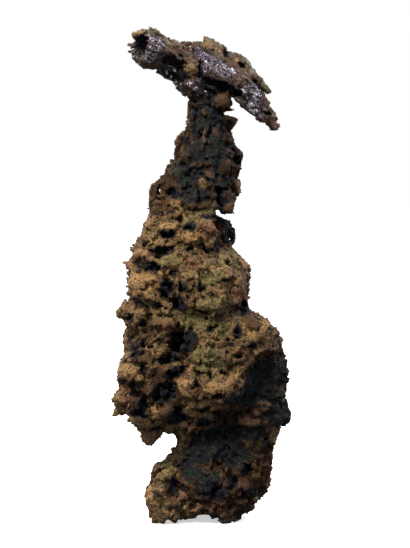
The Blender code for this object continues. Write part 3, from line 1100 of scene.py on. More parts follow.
@dataclass
class GrownPart:
    """A part of the specimen that grew as one piece, sculpted from its plain solid, and its skin's grains.

    An edge, an openness or a depth is a pair of limits, between which a share goes from 0 to 1. The air
    round a place is read within two reaches, each with its weight. The blotches and mottles, each with a
    size and a seed, make the patches' edges uneven.
    """

    name: str
    node: str
    slot: str
    finish: Finish
    pitch: float
    coarse: float
    triangles: int
    seed: int
    shrink: float
    most_proud: float
    knobs: tuple[Mark, ...]
    pores: tuple[Mark, ...]
    patches: dict[Patch, tuple[Mark, ...]]
    wild: dict[Patch, float]
    settle: float = 0.0
    margin: float = 2.0
    most_chips: int = 15500
    near_air: Pair = (0.7, 0.6)
    wide_air: Pair = (2.0, 0.4)
    # The openness mask is painted light: the finish paints open places and the listed knobs paler.
    openness: Pair = (0.36, 0.66)
    knob_openness: float = 0.35
    blotch: tuple[float, int] = (2.6, 41)
    mottle: tuple[float, int] = (1.2, 42)
    reach_back: float = 4.0
    reach_wobble: float = 1.2
    reach_edge: Pair = (-1.0, 2.0)
    # Depth below the block and closed-in air make the pore mask, which the finish paints as shade.
    pore_depth: Pair = (1.2, 3.2)
    closed_air: float = 0.46
    closed_edge: Pair = (0.0, 0.2)
    closed_share: float = 0.8
    pore_share: float = 0.9
    wild_size: float = 6.0
    wild_seed: int = 101
    wild_edge: Pair = (0.1, 1.5)
    patch_wobble: Pair = (0.12, 0.08)
    patch_edge: Pair = (0.2, 0.7)
    grain_proud: Pair = (1.6, 1.7)
    toned: Pair = (0.72, 0.98)

    def sculpt(self, clay: Clay, rng: np.random.Generator) -> None:
        """Works the block into the part's true surface."""
        raise NotImplementedError

    def grains(self, clay: Clay, rng: np.random.Generator) -> tuple[np.ndarray, np.ndarray, np.ndarray]:
        """Returns the middles, the turns and the half sizes of the grains on the skin."""
        raise NotImplementedError

    def masks(self, clay: Clay, block: np.ndarray, points: np.ndarray) -> dict[str, np.ndarray]:
        """Works out what the finish reads at each point.

        Args:
            clay: The sculpted clay.
            block: Its grid before it was sculpted.
            points: Where the masks are wanted.

        Returns:
            How open each point is, how deep in a pore it is, and how much of each patch it has.
        """
        near, wide = (clay.read(clay.air(reach), points) for reach, _ in (self.near_air, self.wide_air))
        blotches, mottles = (clay.read(clay.noise(*drawn), points) for drawn in (self.blotch, self.mottle))
        reach = self.reach_back + self.reach_wobble * blotches - clay.behind(block, points)
        front = ramp(reach, *self.reach_edge)
        # How closed in by clay a place is, painted as shade.
        closed = self.closed_share * ramp(self.closed_air - 0.5 * (near + wide), *self.closed_edge)
        hollow = np.maximum(ramp(-clay.read(block, points), *self.pore_depth), closed)
        open_air = ramp(self.near_air[1] * near + self.wide_air[1] * wide, *self.openness)
        # openness paints light on open places and knobs; pore paints shade in pores and closed-in hollows.
        masks = {
            "openness": open_air + self.knob_openness * front * cover(self.knobs, points),
            "pore": np.maximum(hollow, self.pore_share * front * cover(self.pores, points)),
        }
        for number, (patch, places) in enumerate(self.patches.items()):
            drawn = clay.read(clay.noise(self.wild_size, self.wild_seed + number), points)
            wild = self.wild.get(patch, 0.0) * ramp(drawn, *self.wild_edge)
            known = front * cover(places, points) + (1.0 - front) * wild
            wobble = self.patch_wobble[0] * blotches, self.patch_wobble[1] * mottles
            masks[patch.value] = ramp(known + wobble[0] + wobble[1], *self.patch_edge)
        if Patch.FACE.value in masks:
            masks[Patch.FACE.value] *= 1.0 - np.maximum(masks["pore"], masks[Patch.BLACK.value])
        return masks

    def dress(
        self, piece: bpy.types.Object, masks: dict[str, np.ndarray], material: bpy.types.Material
    ) -> None:
        """Gives a piece its masks and its finish, and fixes it to the specimen.

        Args:
            piece: The piece.
            masks: Each mask's value at every point of the piece.
            material: The finish's material.
        """
        for name, values in masks.items():
            set_mask(piece, name, values)
        piece.data.materials.clear()
        piece.data.materials.append(material)
        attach(piece, "root")

    def add_grains(self, clay: Clay, block: np.ndarray, skin: bpy.types.Object) -> None:
        """Makes the grains on the skin, in as many pieces as their number needs, from the highest down.

        Args:
            clay: The sculpted clay.
            block: Its grid before it was sculpted.
            skin: The skin's object.
        """
        rng = np.random.default_rng(self.seed + 1)
        centres, turns, sizes = self.grains(clay, rng)
        tree = BVHTree.FromPolygons(
            [vertex.co / MM for vertex in skin.data.vertices],
            [tuple(face.vertices) for face in skin.data.polygons],
        )
        gaps = np.array([tree.find_nearest(centre)[3] for centre in centres])
        gaps += ramp(-clay.read(block, centres), *self.grain_proud)
        material = skin.data.materials[0]
        order = [place for place in np.argsort(-centres[:, 2]) if gaps[place] < sizes[place].min()]
        shares = np.array_split(order, math.ceil(len(order) / self.most_chips))
        for number, share in enumerate(shares, 1):
            points, faces = chips(centres[share], turns[share], sizes[share], rng)
            masks = self.masks(clay, block, centres[share])
            tone = rng.random(len(share))
            masks[Patch.PALE.value] = ramp(tone, *self.toned)
            masks[Patch.DARK.value] = ramp(1.0 - tone, *self.toned)
            piece = new_object(f"{self.name}_grains_{number}", points, faces)
            spread = {name: np.repeat(values, len(CORNERS)) for name, values in masks.items()}
            self.dress(piece, spread, material)
            LOG.info("%s: %d grains", piece.name, len(share))

    def build(self) -> None:
        """Makes the part and its grains, in place of its plain solid."""
        clay = Clay.from_solid(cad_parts[self.node], self.pitch, self.margin, self.coarse)
        clay.low[2] -= self.settle
        block = clay.grid.copy()
        self.sculpt(clay, np.random.default_rng(self.seed))
        LOG.info("%s is sculpted", self.name)
        piece = new_object(self.name, *largest_body(*clay.skin()))
        thin(piece, self.triangles)
        piece.data.shade_smooth()
        self.dress(piece, self.masks(clay, block, mesh_points(piece)), self.finish.build())
        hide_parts(self.node)
        LOG.info("%s: %d triangles", piece.name, len(piece.data.polygons))
        self.add_grains(clay, block, piece)


@dataclass
class RockMatrix(GrownPart):
    """The host rock: a tall column of porous ironstone on a broken foot.

    A wrinkle is its size, reach and seed. The outline's rows are heights, each with how far left and right
    the rock reaches there. The gaps go right through, and their walls are frayed from one depth to another.
    """

    name: str = "ironstone_matrix"
    node: str = "matrix"
    slot: str = "ironstone"
    finish: Finish = WeatheredLimonite()
    pitch: float = 0.36
    coarse: float = 1.0
    triangles: int = 194000
    seed: int = 7
    shrink: float = 0.4
    most_proud: float = 1.0
    lumps: Swell = Swell(4.5, 0.28, 11)
    bumps: Swell = Swell(2.0, 0.16, 12)
    back_lumps: Swell = Swell(6.0, 1.0, 15)
    back_edge: Pair = (-1.0, 6.0)
    flutes: Swell = Swell(1.2, 0.3, 14, (1.0, 1.0, 3.0))
    flute_edge: Pair = (74.0, 82.0)
    grit: Swell = Swell(0.9, 0.07, 13)
    wide_wrinkle: tuple[float, float, int] = (1.5, 0.3, 21)
    fine_wrinkle: tuple[float, float, int] = (0.8, 0.1, 31)
    knob_blend: float = 0.5
    pore_blend: float = 0.35
    proud_blend: float = 0.3
    gap_blend: float = 0.1
    most_drawn: float = 1.8
    drawn_smooth: float = 1.5
    open_reach: float = 1.2
    open_edge: Pair = (0.25, 0.45)
    uneven: Pair = (0.7, 1.25)
    knob_wobble: float = 0.45
    fray_depths: Triple = (-12.0, 18.0, 2.1)
    fray_seed: int = 77
    fray_shift: float = 0.6
    fray_sizes: Triple = (1.0, 1.6, 1.7)
    fray_uneven: Pair = (0.7, 1.5)
    fray_lean: float = 25.0
    fray_blend: float = 0.3
    sponge: tuple[Zone, ...] = (
        Zone((-12.5, -12.0, 66.0), (8.0, 9.0, 8.0)),
        Zone((-12.0, -13.0, 54.0), (8.0, 8.0, 7.0)),
        Zone((-14.5, -9.0, 33.0), (8.5, 11.0, 14.0)),
        Zone((-4.0, -14.0, 27.0), (6.0, 6.0, 6.0)),
        Zone((-9.0, 10.0, 48.0), (9.0, 8.0, 12.0)),
        Zone((8.0, 10.0, 62.0), (7.0, 8.0, 8.0)),
        Zone((-10.0, 5.0, 26.0), (8.0, 9.0, 8.0)),
        Zone((8.0, 10.0, 10.0), (9.0, 7.0, 8.0)),
    )
    close: tuple[Zone, ...] = (
        Zone((17.0, -6.0, 33.0), (8.0, 13.0, 12.0)),
        Zone((2.0, -15.0, 40.5), (5.5, 5.0, 4.5)),
        Zone((3.0, -5.0, 90.0), (9.0, 12.0, 18.0)),
        Zone((6.0, -10.0, 19.0), (11.0, 6.0, 7.0)),
        Zone((4.0, -14.0, 56.0), (8.0, 6.0, 8.0)),
    )
    coarse_tiers: tuple[Tier, ...] = (
        Tier(2.6, 0.8, 1.5, 0.70, 0.5, False, 0.5, 0.7, 0.3, True),
        Tier(3.2, 0.8, 1.4, 0.40, 0.3, True, 0.06, 0.4, 0.0, False, 1.6),
    )
    fine_tiers: tuple[Tier, ...] = (
        Tier(1.3, 0.4, 0.75, 0.45, 0.15, False, 0.8, 0.7, 0.7, True),
        Tier(1.5, 0.35, 0.65, 0.30, 0.15, True, 0.2, 0.45, 0.16, False, 1.4),
        Tier(0.85, 0.28, 0.45, 0.35, 0.06, False, 0.6, 0.5, 0.8, True),
    )
    grain_spacing: float = 0.8
    grain_share: float = 0.45
    grain_floor: float = 1.0
    grain_size: Pair = (0.11, 0.15)
    grain_uneven: Pair = (0.7, 1.3)
    grain_sink: float = 0.35
    grain_wobble: float = 0.8
    outline: tuple[Triple, ...] = (
        (100.9, -3.2, 7.3), (98, -3.2, 7.8), (96.8, -3.6, 9.2), (95.1, -3.6, 7.3), (92.2, -6.3, 7.8),
        (90.2, -6.3, 8.5), (89, -6.6, 10.4), (87.8, -7, 10), (86.3, -7.8, 9.7), (83.4, -9.5, 9),
        (82, -10.7, 9.5), (80.7, -12.6, 9.5), (79.5, -12.6, 9.7), (77.6, -12.6, 8.3), (75.4, -12.4, 7.8),
        (73.7, -12.6, 6.8), (72.7, -13.6, 5.6), (71.8, -13.8, 7.3), (69.8, -14.3, 8.5), (68.4, -15.1, 8),
        (67.1, -15.3, 7.3), (66.2, -17.2, 6.6), (65, -16.8, 8.7), (63.5, -17, 10), (62.5, -18.7, 10.9),
        (61.6, -18.2, 11.9), (60.1, -17.7, 12.1), (55.7, -18, 11.7), (52.3, -18, 11.4),
        (51.3, -20.2, 11.9), (50.1, -20.9, 14.3), (48.7, -19.7, 16), (47, -18.2, 18), (45.3, -18.5, 19.2),
        (44.1, -19.2, 19.7), (41.1, -18.5, 19.9), (38.2, -19.9, 20.9), (34.8, -20.2, 21.4),
        (31.9, -19.9, 20.9), (29.5, -21.9, 20.6), (27.1, -20.9, 21.4), (25.1, -21.4, 21.9),
        (24.1, -18.2, 22), (23.2, -16.4, 21.2), (22.5, -15.5, 20.2), (21.8, -15, 19.2),
        (20.7, -14.6, 18.9), (19, -14.3, 17.9), (17.8, -6.1, 17.6), (14.9, -8, 17.4), (12.7, -11.7, 17.4),
        (9.6, -12.1, 17.2), (7.6, -13.4, 16.9), (6.2, -13.8, 15.8), (4.7, -13.1, 14.3), (3, -12.6, 13.4),
        (1.6, -12.6, 9.7), (0.1, -12.4, 9.2),
    )
    pores: tuple[Mark, ...] = marks(
        (-3.8, 92, 2.4, 2.2, 0, 0.9), (-1.6, 98.4, 2.4, 3.4, 0, 0.9), (3.6, 98, 2.6, 3, 0, 0.9),
        (5.4, 94.4, 2, 2.6, 0, 0.9), (0.6, 93.6, 4, 1.8, 0, 0.9), (4.8, 100.7, 1.3, 0.9, 20, 0.8),
        (6.4, 102.2, 0.9, 1.4, 0, 0.8), (8.6, 88.2, 1.8, 4.2, -15, 2.5), (-0.8, 86.8, 1.2, 2.4, 0, 0.9),
        (-4.8, 86.4, 2.2, 2.6, 0, 0.9), (-2.6, 80.5, 4.6, 1.6, -8, 0.9), (-6.6, 79.2, 2.6, 2.6, 0, 0.9),
        (4.8, 78.2, 1.8, 5.6, 6, 4), (6.3, 82.8, 1.6, 2.4, 0, 0.9), (-0.4, 78, 4.2, 1.2, 0, 0.9),
        (-8.4, 81.4, 1.2, 1.2), (-6.8, 74.9, 1.6, 1.2, 0, 0.9), (-5, 73.2, 1.7, 2.2),
        (-2.4, 71.5, 3.2, 2.4, 20, 1.4), (-8, 69.7, 5, 2.6, -5, 3), (-9.6, 65.6, 6.8, 2.6, 8, 3),
        (-12.6, 62.2, 7.4, 2.8, -10, 3), (-13.9, 67.5, 1.9, 2), (-6.4, 60.5, 1.5, 1.3),
        (-8.3, 57.2, 3.2, 4.2, 0, 2.2), (-4.3, 57.4, 2.9, 2.5), (0.1, 57.2, 2.1, 2), (-15, 54.2, 2.9, 2.3),
        (-10.5, 52.7, 2.3, 2.1), (-5.3, 53.3, 2.9, 3.4), (3, 55.7, 2, 1.1), (5.8, 58.9, 2.2, 1.1),
        (0.6, 51.3, 2.2, 1.1), (4.2, 50.8, 1.7, 1.1), (-3, 66, 1.9, 1.4), (3.4, 65.9, 1.9, 1.4),
        (10.4, 51.9, 3, 3), (5.9, 70.2, 4.4, 8.4, 0, 3), (2.2, 73.8, 5.6, 1.3, -3, 5),
        (-1.8, 62.9, 1.5, 1), (-14.9, 61, 1.6, 1), (-10.6, 74.2, 1.4, 0.9), (-17, 48.8, 2.2, 2.2),
        (-13.8, 48.3, 1.9, 1.6), (-12, 47.2, 1.7, 1.8), (-5.2, 45.9, 6.2, 1.7),
        (-4.4, 43.2, 5.2, 3.2, 30, 3.5), (-8, 40, 4.8, 2.3, 12, 3.5), (-14, 43.2, 2.1, 2.1),
        (-16, 42, 1.8, 3.9), (-12.3, 41.4, 1, 1.8), (-9.9, 44.2, 1.9, 1.7), (-13.6, 37.5, 2.2, 1.3),
        (-6, 36.8, 5.2, 2.8, 25, 3.5), (-7.4, 34.4, 1.8, 2.2), (-16.6, 33, 2.2, 4.2),
        (-10.6, 31.2, 2.6, 4.2), (-8, 32.2, 3.4, 3.6, 0, 3.5), (-13.8, 28.2, 2.3, 5.2, 0, 3.5),
        (-16.2, 27, 4, 2), (-5, 26.4, 6, 2.6, -50, 3.5), (-6.5, 24.6, 4.2, 1.8), (-1.3, 34.2, 2.1, 1.9),
        (-0.5, 36.5, 1.3, 1.5), (0.8, 28, 2.9, 1.3), (3.6, 27, 2.8, 1.7, -15), (0.5, 24.6, 3.2, 2.8),
        (8.8, 46.6, 2, 3.4), (12.3, 43.6, 2.1, 1.9), (14.3, 44, 1.3, 1.1), (16.2, 47.4, 1.1, 1.1),
        (18.1, 44.9, 1.7, 1), (7.2, 43.8, 1.7, 1.3), (9, 41.3, 1.9, 2.2), (9.2, 39.2, 1.5, 1.1),
        (13.2, 47.2, 1.3, 1.2), (11.5, 27.4, 1.8, 1.4), (3.6, 31.2, 5.6, 1.2), (2.2, 47.2, 2.2, 1.6),
        (-10.7, 23, 3.4, 1.4), (-10.6, 7.6, 2.1, 1.9), (-6.8, 9.2, 2.2, 4), (-1, 8.2, 1.6, 2.1),
        (3, 8.6, 5.6, 4.6, 0, 1), (7.8, 10.2, 2.5, 2.5), (10.4, 7, 2.4, 1.9), (11, 12.5, 3.2, 1.6),
        (15.8, 19.2, 1.7, 2.6), (-3.8, 14.4, 2.8, 2), (2, 1, 7, 3.4, 0, 9), (-7, 0, 8, 2.4, 0, 6),
        (6.8, 0, 3, 1.6, 0, 4), (14.4, 0.4, 5, 3.8, 0, 12),
    )
    proud: tuple[Mark, ...] = marks(
        (-12.6, 20.3, 3.2, 2.6), (-12.3, 19.3, 2.2, 1.8), (17.2, 19.6, 1.8, 2.6), (-20.8, 26.2, 1.8, 2.4),
        (20.6, 23.5, 2.8, 1.6, 25), (12, 3, 3.6, 2.4, 25), (15.2, 6, 3, 1.8, 45), (8, 96.1, 3.2, 1.8, -28),
        (7.2, 70.6, 1.6, 4.6, -10), (9.3, 89, 2.6, 1.6, 10), (6.9, 75.6, 2.4, 2.2), (-3.3, 99.6, 1.4, 1.6),
        (-18.5, 62.5, 1.4, 0.8, -15),
    )
    gaps: tuple[Mark, ...] = marks(
        (4.2, 74.4, 1.1, 1.5, 0, 30), (-10, 79.8, 0.6, 0.8, 0, 30), (7.2, 73.4, 4.6, 1.3, -6, 30),
        (10.6, 74.8, 3.6, 2.6, 0, 30), (7.5, 98.6, 3.2, 0.9, 0, 30), (9.8, 97.7, 2.8, 1.1, -34, 30),
        (8.5, 101.4, 1.6, 3, 20, 30), (-4.4, 101.8, 1.8, 3.2, 0, 30), (-7.9, 18.9, 4.2, 2.8, -22, 30),
        (-9.5, 17.6, 1.8, 1.8, 0, 30), (-10.3, 15.1, 4.4, 2.2, 30, 30), (-18, 22.9, 4.6, 2.2, -32, 30),
        (13.6, 52.4, 3.4, 2.2, -35, 30), (-20.2, 39.8, 1.8, 1.6, 0, 30),
    )
    knobs: tuple[Mark, ...] = marks(
        (4.6, 101.9, 2.8, 2.6), (6.3, 101.2, 2.4, 2.8, 20), (5.2, 99.9, 2.6, 1.4, -10),
        (-3.4, 96.7, 1.2, 1.6), (3.8, 94.2, 1.7, 1.5), (-4.6, 94, 2.6, 0.8, 25), (-5.8, 91.2, 1, 3.4),
        (-2.2, 92.6, 0.8, 2.4), (1.2, 98.6, 1.4, 4.2), (0.8, 92.2, 1, 6), (6.9, 88.6, 1, 6.4, 10),
        (-1.9, 85.8, 0.9, 4.4), (1, 86.3, 4.6, 0.9, -4), (1.8, 83.7, 2.8, 1.7, 12), (9, 82.2, 1.8, 2.6),
        (9, 80.2, 1.8, 1.2, -20), (7, 77.4, 3, 4.8), (10, 89.2, 1.6, 1, 25), (0.6, 76, 6.2, 2, 12),
        (-9.8, 79, 3, 1.2, -30), (-10.9, 77, 2.6, 1.6), (-8, 77.4, 3.2, 1.2, -20), (-5, 77.2, 2.4, 1.8),
        (-7.8, 71.6, 4, 1.1, -4), (-11.2, 68.2, 4.2, 1.3, 8), (-12.6, 72.2, 2.2, 2.8),
        (-14.3, 69.2, 2, 1.9), (-16.3, 67, 1.7, 1.4), (-13.6, 65, 4.2, 1.1, -8), (-17.2, 62.4, 2.6, 1.9),
        (-7.4, 67.6, 3, 1.4, 12), (-3.6, 69, 4.6, 1.8, -8), (1.8, 71.6, 4.6, 1.9, -12),
        (2.6, 68, 3.8, 2.2, -25), (-6.8, 63.6, 4.6, 2.2, -8), (-7.8, 61.5, 4.4, 1.2, 18),
        (-2, 63.2, 3, 1.7, -25), (6.6, 63.6, 3.4, 3), (10.4, 62, 3.8, 2.6, -22),
        (4.4, 64.8, 3.2, 0.8, -12), (1.6, 61.6, 3.2, 1.6, 15), (-13.2, 58.9, 4.4, 1.4, 10),
        (-13.6, 56.2, 4.6, 1.5, -6), (-16.6, 58.6, 1.8, 2.4), (-12, 54.8, 1.6, 2.6, 20),
        (-6.4, 55.4, 3.6, 0.9, 25), (-13, 51.4, 4.6, 1.9, 12), (-16.8, 51.6, 2.2, 1.7),
        (-19.2, 50.7, 3.2, 3.2), (-8.2, 52.6, 1.6, 2.4), (-9, 49, 4.6, 2, -8), (2.6, 53.4, 4.8, 1.4, -5),
        (9.8, 57.4, 3, 5), (8.2, 54.2, 3.2, 1.6), (-15.4, 46.8, 2.6, 1.4), (-13, 45.6, 2.6, 1.1, 10),
        (-18.4, 43, 1.2, 4.4), (-12.7, 43.2, 1.9, 2.2), (-13, 40.7, 2.8, 2.2),
        (-10.4, 42.4, 2.4, 1.4, -30), (-5, 39.4, 2.6, 1.7, 30), (-17.6, 37, 5, 3.4, -8),
        (-12.6, 38.8, 2.2, 1.6), (-9.8, 36.2, 3.2, 4.8), (-13.5, 33, 3.6, 3.6, -25),
        (-18.4, 33.4, 1.8, 2.6), (-18.6, 30, 2.8, 2.8), (-20.9, 29.2, 1.8, 1.8), (-19.8, 26.6, 2.6, 1.7),
        (-10.3, 27.4, 4.6, 2.7), (-7.6, 28.2, 2.6, 2.6), (-13.2, 24.6, 4.6, 1.8, -22),
        (-10.6, 24.6, 2.2, 1.6), (-12.3, 20.8, 4, 4), (-6.8, 22, 3.4, 2.6, -10), (-2.1, 38.8, 1, 4.6, -20),
        (9.3, 37.6, 13, 2, 46), (3.8, 33.7, 7.4, 3, 12), (-3.4, 33.6, 5.4, 3, -38),
        (14.6, 42.4, 3.6, 1.8, 40), (13.4, 48, 5.4, 3.8, -30), (18.6, 43, 2.6, 2.3),
        (16.6, 45.8, 3.4, 1.6, -30), (11.2, 45.4, 2.8, 2, 30), (7.6, 42.2, 3.4, 1.2, -30),
        (1.2, 30, 3.6, 1.8, 10), (4.3, 29, 3.8, 2.4, -12), (-2.6, 27.4, 3.8, 2.3, -28),
        (0.8, 26.6, 3.2, 1, -8), (-1.9, 24, 3.4, 0.9, -58), (-0.2, 22.2, 1.8, 0.8, -25),
        (1.9, 23.5, 2.8, 1.2, 35), (11.6, 24.6, 5.8, 2.2, -6), (14.4, 28.2, 3.4, 3), (13.4, 27, 1.6, 1.4),
        (15.8, 29, 1.8, 1.4, 30), (17, 21.6, 3, 2.6), (11, 20, 3.2, 1.4), (2.8, 12.3, 5.6, 0.9, -8),
        (5.1, 9.8, 2, 1.5), (12, 14.6, 3.8, 1.3), (9.8, 17.4, 2.2, 0.9, 30), (-5.4, 16, 2, 1.7, -30),
        (-7.8, 12.6, 2.6, 1.7), (-11.2, 11.8, 1.9, 2.8), (-4.4, 9.9, 1.9, 1.7), (-5.2, 6.4, 4.6, 1.7),
        (-2.9, 4.5, 2.4, 2.7), (-7.2, 2.8, 3.2, 1.9), (-12.8, 7.2, 1.3, 3.2), (-11.6, 3.6, 1.7, 2.8),
        (-10.6, 1.2, 3.2, 1.7), (4.6, 4.8, 3.4, 0.7, 15), (6.8, 1.9, 4.4, 2.3), (-2.5, 1.8, 1.5, 1.6),
        (9.6, 9.4, 3.4, 1.6, -20), (12.6, 5.6, 3, 1.6, 20), (1.5, 3.4, 4.4, 1.4, -8),
    )
    patches: dict[Patch, tuple[Mark, ...]] = field(
        default_factory=lambda: {
            # Black marks: the neck's dark stain, and painted shade on the pores, on the right lobe under
            # the ledge, on the waist and on the foot's middle.
            Patch.BLACK: marks(
                (0.4, 103.2, 7, 5), (1.2, 99.2, 5.4, 5), (1.5, 95.5, 8, 9), (2, 89, 11, 9),
                (-1, 84, 13, 7), (-3, 79.5, 12, 5), (5.2, 78, 3.4, 7), (2.4, 82.4, 8, 4.4),
                (0, 11.8, 10, 4), (6, 70.4, 4.8, 8), (2.6, 73.8, 6, 1.6), (-2.4, 71.5, 3.6, 2.8),
                (-4, 44, 7, 5, 30), (-8, 40, 6, 3, 12), (-6.5, 36.8, 6, 3.2, 25), (-9, 32, 6.4, 5),
                (-14, 28.4, 3, 6), (-4.6, 26, 7, 3, -50), (-16.2, 43, 2.6, 5.6), (-16.6, 33, 2.6, 4.6),
                (16.6, 36, 9, 9, -20), (12.6, 35.6, 11, 3.2, 46), (13, 31, 10, 6), (18, 28, 7, 8),
                (8, 30.6, 5, 4), (8, 21.5, 16, 5), (2, 17.5, 14, 7), (9, 15.5, 9, 5),
                (0.5, 24.6, 4.4, 3.4), (3.6, 8.6, 7, 6), (7.6, 10.2, 3.4, 3.4), (-4, 14.4, 5, 3),
                (7.6, 1.4, 5.4, 3), (-8, 69.7, 4, 2, -5), (-9.6, 65.6, 6, 2, 8),
                (-12.6, 62.2, 6.6, 2.2, -10), (10.6, 52, 3.2, 3.6), (8.8, 46.6, 2.4, 4),
                (-6.6, 9.4, 2.4, 4.6), (13, 7.4, 6, 2.6), (-5.3, 53.2, 3.2, 3.8), (-8.3, 57, 3, 3.8),
                (19, 23.8, 4.4, 3),
            ),
            # Umber marks: the neck's dark crust, and painted shade on the right lobe under the ledge, the
            # waist and the foot's middle.
            Patch.UMBER: marks(
                (-1.5, 101, 8, 9), (-7.5, 83, 8, 6), (-10.4, 77.8, 6, 7), (0, 76.8, 9, 3.4),
                (12, 49.4, 5, 3, -30), (-13.8, 40, 5, 4), (-1.6, 33, 4, 3), (-17.6, 34.4, 5, 3),
                (1.5, 91.5, 21, 24), (1.5, 84, 11, 8), (0, 80.5, 12, 6), (7, 75, 5, 12),
                (16.5, 32, 13, 20), (7, 26, 8, 8), (6.5, 14, 24, 20), (-4.5, 43.5, 8, 6, 30),
                (-8, 31, 6, 14, 20), (-14.5, 30, 5, 10), (7, 4, 14, 6), (-8, 56.5, 4, 5),
                (-15, 45.5, 6, 5), (-7, 9, 3.6, 6),
            ),
            Patch.OLIVE: marks(
                (1.6, 40, 8, 7.6), (-6.8, 63.8, 5, 2.8), (0.4, 76, 7.4, 3), (-2.6, 72.6, 3.4, 3.2),
                (6.6, 63.6, 4.4, 4), (2, 59.6, 9, 3.4), (3, 53, 7.6, 3.6), (-0.5, 49, 8, 3.4),
                (5.6, 46.6, 4, 4.6), (-7, 85.6, 2, 3.4), (5.8, 88.4, 2.6, 4.6), (19, 31, 3, 5),
                (-9.2, 10.2, 3, 2), (-8, 12.6, 3.4, 2), (-16.6, 67.2, 2, 1.4), (-12.4, 52.4, 4.6, 2.4, 40),
                (-15.6, 38.6, 2.8, 1.2), (-6.6, 22.4, 3, 2), (14.2, 6.2, 3.6, 2),
            ),
            # Tan marks: partly the crust's colour, partly a painted highlight on the proud knobs and the
            # ledge, and painted light on the foot's right end.
            Patch.TAN: marks(
                (-13.6, 57.6, 8, 6.4), (-13.4, 65, 6.6, 1.6, -8), (-8, 71.6, 4.6, 1.5, -4),
                (-11, 68.2, 4.6, 1.8, 8), (-10, 77.6, 5, 6, -20), (-7.8, 61.4, 4.6, 1.6, 18),
                (-17.4, 37, 5.4, 3.8, -8), (9.4, 37.6, 13.2, 2.2, 46), (3.8, 33.6, 8, 3.2, 12),
                (-3.4, 33.4, 5.6, 3.4, -38), (13.6, 47.4, 9, 5.4, -38), (14.4, 42.6, 4.4, 2.2, 40),
                (-13, 50.8, 5.4, 2.4, 8), (-10.2, 27.4, 5, 3), (-2.6, 27.4, 4, 2.4, -28),
                (1.6, 30, 5, 2.2, 10), (10.6, 62.4, 4, 2.4, -25), (-3, 69, 5.6, 2.6, -8),
                (14.4, 9.6, 4.4, 9), (-2.9, 4.5, 2.6, 3), (-12.4, 7, 2, 4), (-10.6, 1.2, 4, 1.6),
                (-2.1, 38.6, 1.4, 4.8, -20), (-13, 41, 3.4, 4), (-13.4, 73, 2.4, 3.4),
                (8.4, 96.5, 2, 1.4, -30), (-13.4, 24.4, 4.8, 2, -25), (-19.6, 26.6, 3.4, 2),
                (2.4, 68, 4.4, 2.6, -25), (-16, 60, 3, 2), (1, 61.6, 3.6, 1.8, 15), (-7.2, 2.7, 2.6, 1.6),
            ),
            Patch.RUST: marks(
                (5.6, 101.2, 5.6, 5.2), (3.8, 94.2, 2, 1.8), (-5.8, 91.4, 1.8, 5), (8.8, 85, 2.4, 8),
                (7.2, 77.6, 3.4, 5), (-17.2, 62.4, 3, 2.2), (-2.4, 63, 3.6, 2.2, -20),
                (-8.8, 47.8, 5, 2.4), (9.4, 41, 3.4, 4.6, 30), (4.2, 29, 4.2, 2.8), (14.4, 27.8, 4.4, 4),
                (11.6, 24.6, 6.4, 2.6), (12, 14.6, 5.4, 2.4), (10.8, 10, 4.4, 3.4), (16, 9, 2.4, 7),
                (4, 4.2, 8, 2.4), (-5, 6.4, 5.4, 2.2), (-12.4, 20.6, 4, 3), (9.4, 55.6, 4, 6),
                (-9.8, 36, 3.4, 4.6), (-14, 32.4, 3.6, 4), (-18, 31, 3.6, 5), (1.6, 23.2, 4, 2, 35),
                (-2, 24, 3.4, 1.4, -58), (16.8, 17, 2.4, 4), (0.8, 87, 4.4, 2.6, -4), (1.8, 70.8, 4.6, 3),
                (-11, 22.6, 4, 2.4), (3.6, 31.2, 5.6, 1.6), (-2.6, 84.6, 2.4, 4),
            ),
        }
    )
    wild: dict[Patch, float] = field(
        default_factory=lambda: {
            Patch.BLACK: 0.8,
            Patch.UMBER: 1.0,
            Patch.OLIVE: 0.5,
            Patch.TAN: 0.6,
            Patch.RUST: 0.6,
        }
    )

    def scatter(self, clay: Clay, tier: Tier, rng: np.random.Generator) -> None:
        """Presses one tier's knobs or pores over the whole skin, with no knobs down in the pores.

        Args:
            clay: The clay.
            tier: The tier.
            rng: Where their places, sizes and turns come from.
        """
        points, normals = clay.skin_points(tier.spacing, rng)
        spongy, close = cover(self.sponge, points), cover(self.close, points)
        chance = tier.plain + (tier.spongy - tier.plain) * spongy
        chance += (tier.close - chance) * close * (1.0 - spongy)
        if not tier.dig:
            chance *= ramp(clay.read(clay.air(self.open_reach), points), *self.open_edge)
        kept = rng.random(len(points)) < chance
        points, normals = points[kept], normals[kept]
        size = rng.uniform(tier.smallest, tier.largest, len(points))
        radii = size[:, None] * rng.uniform(*self.uneven, (len(points), 3))
        radii[:, 2] *= tier.long
        turns = turns_along(normals, self.knob_wobble, rng)
        centres = points - normals * (size * tier.sink)[:, None]
        for centre, radius, turn in zip(centres, radii, turns):
            clay.press(centre, radius, turn, tier.blend, tier.dig, tier.blocky)

    def fray(self, clay: Clay, rng: np.random.Generator) -> None:
        """Breaks up the walls of the gaps behind the front, where they would look sawn.

        Args:
            clay: The clay.
            rng: Where the breaks' places, sizes and turns come from.
        """
        for gap in self.gaps:
            for depth in np.arange(*self.fray_depths):
                reach = np.array((0.5 * gap.wide, 1.0, 0.5 * gap.tall))
                shift = rng.uniform(-self.fray_shift, self.fray_shift, 3) * reach
                radii = reach * self.fray_sizes * rng.uniform(*self.fray_uneven, 3)
                turn = leaned(gap.lean + rng.uniform(-self.fray_lean, self.fray_lean))
                clay.press(np.array((gap.x, depth, gap.z)) + shift, radii, turn, self.fray_blend, True)

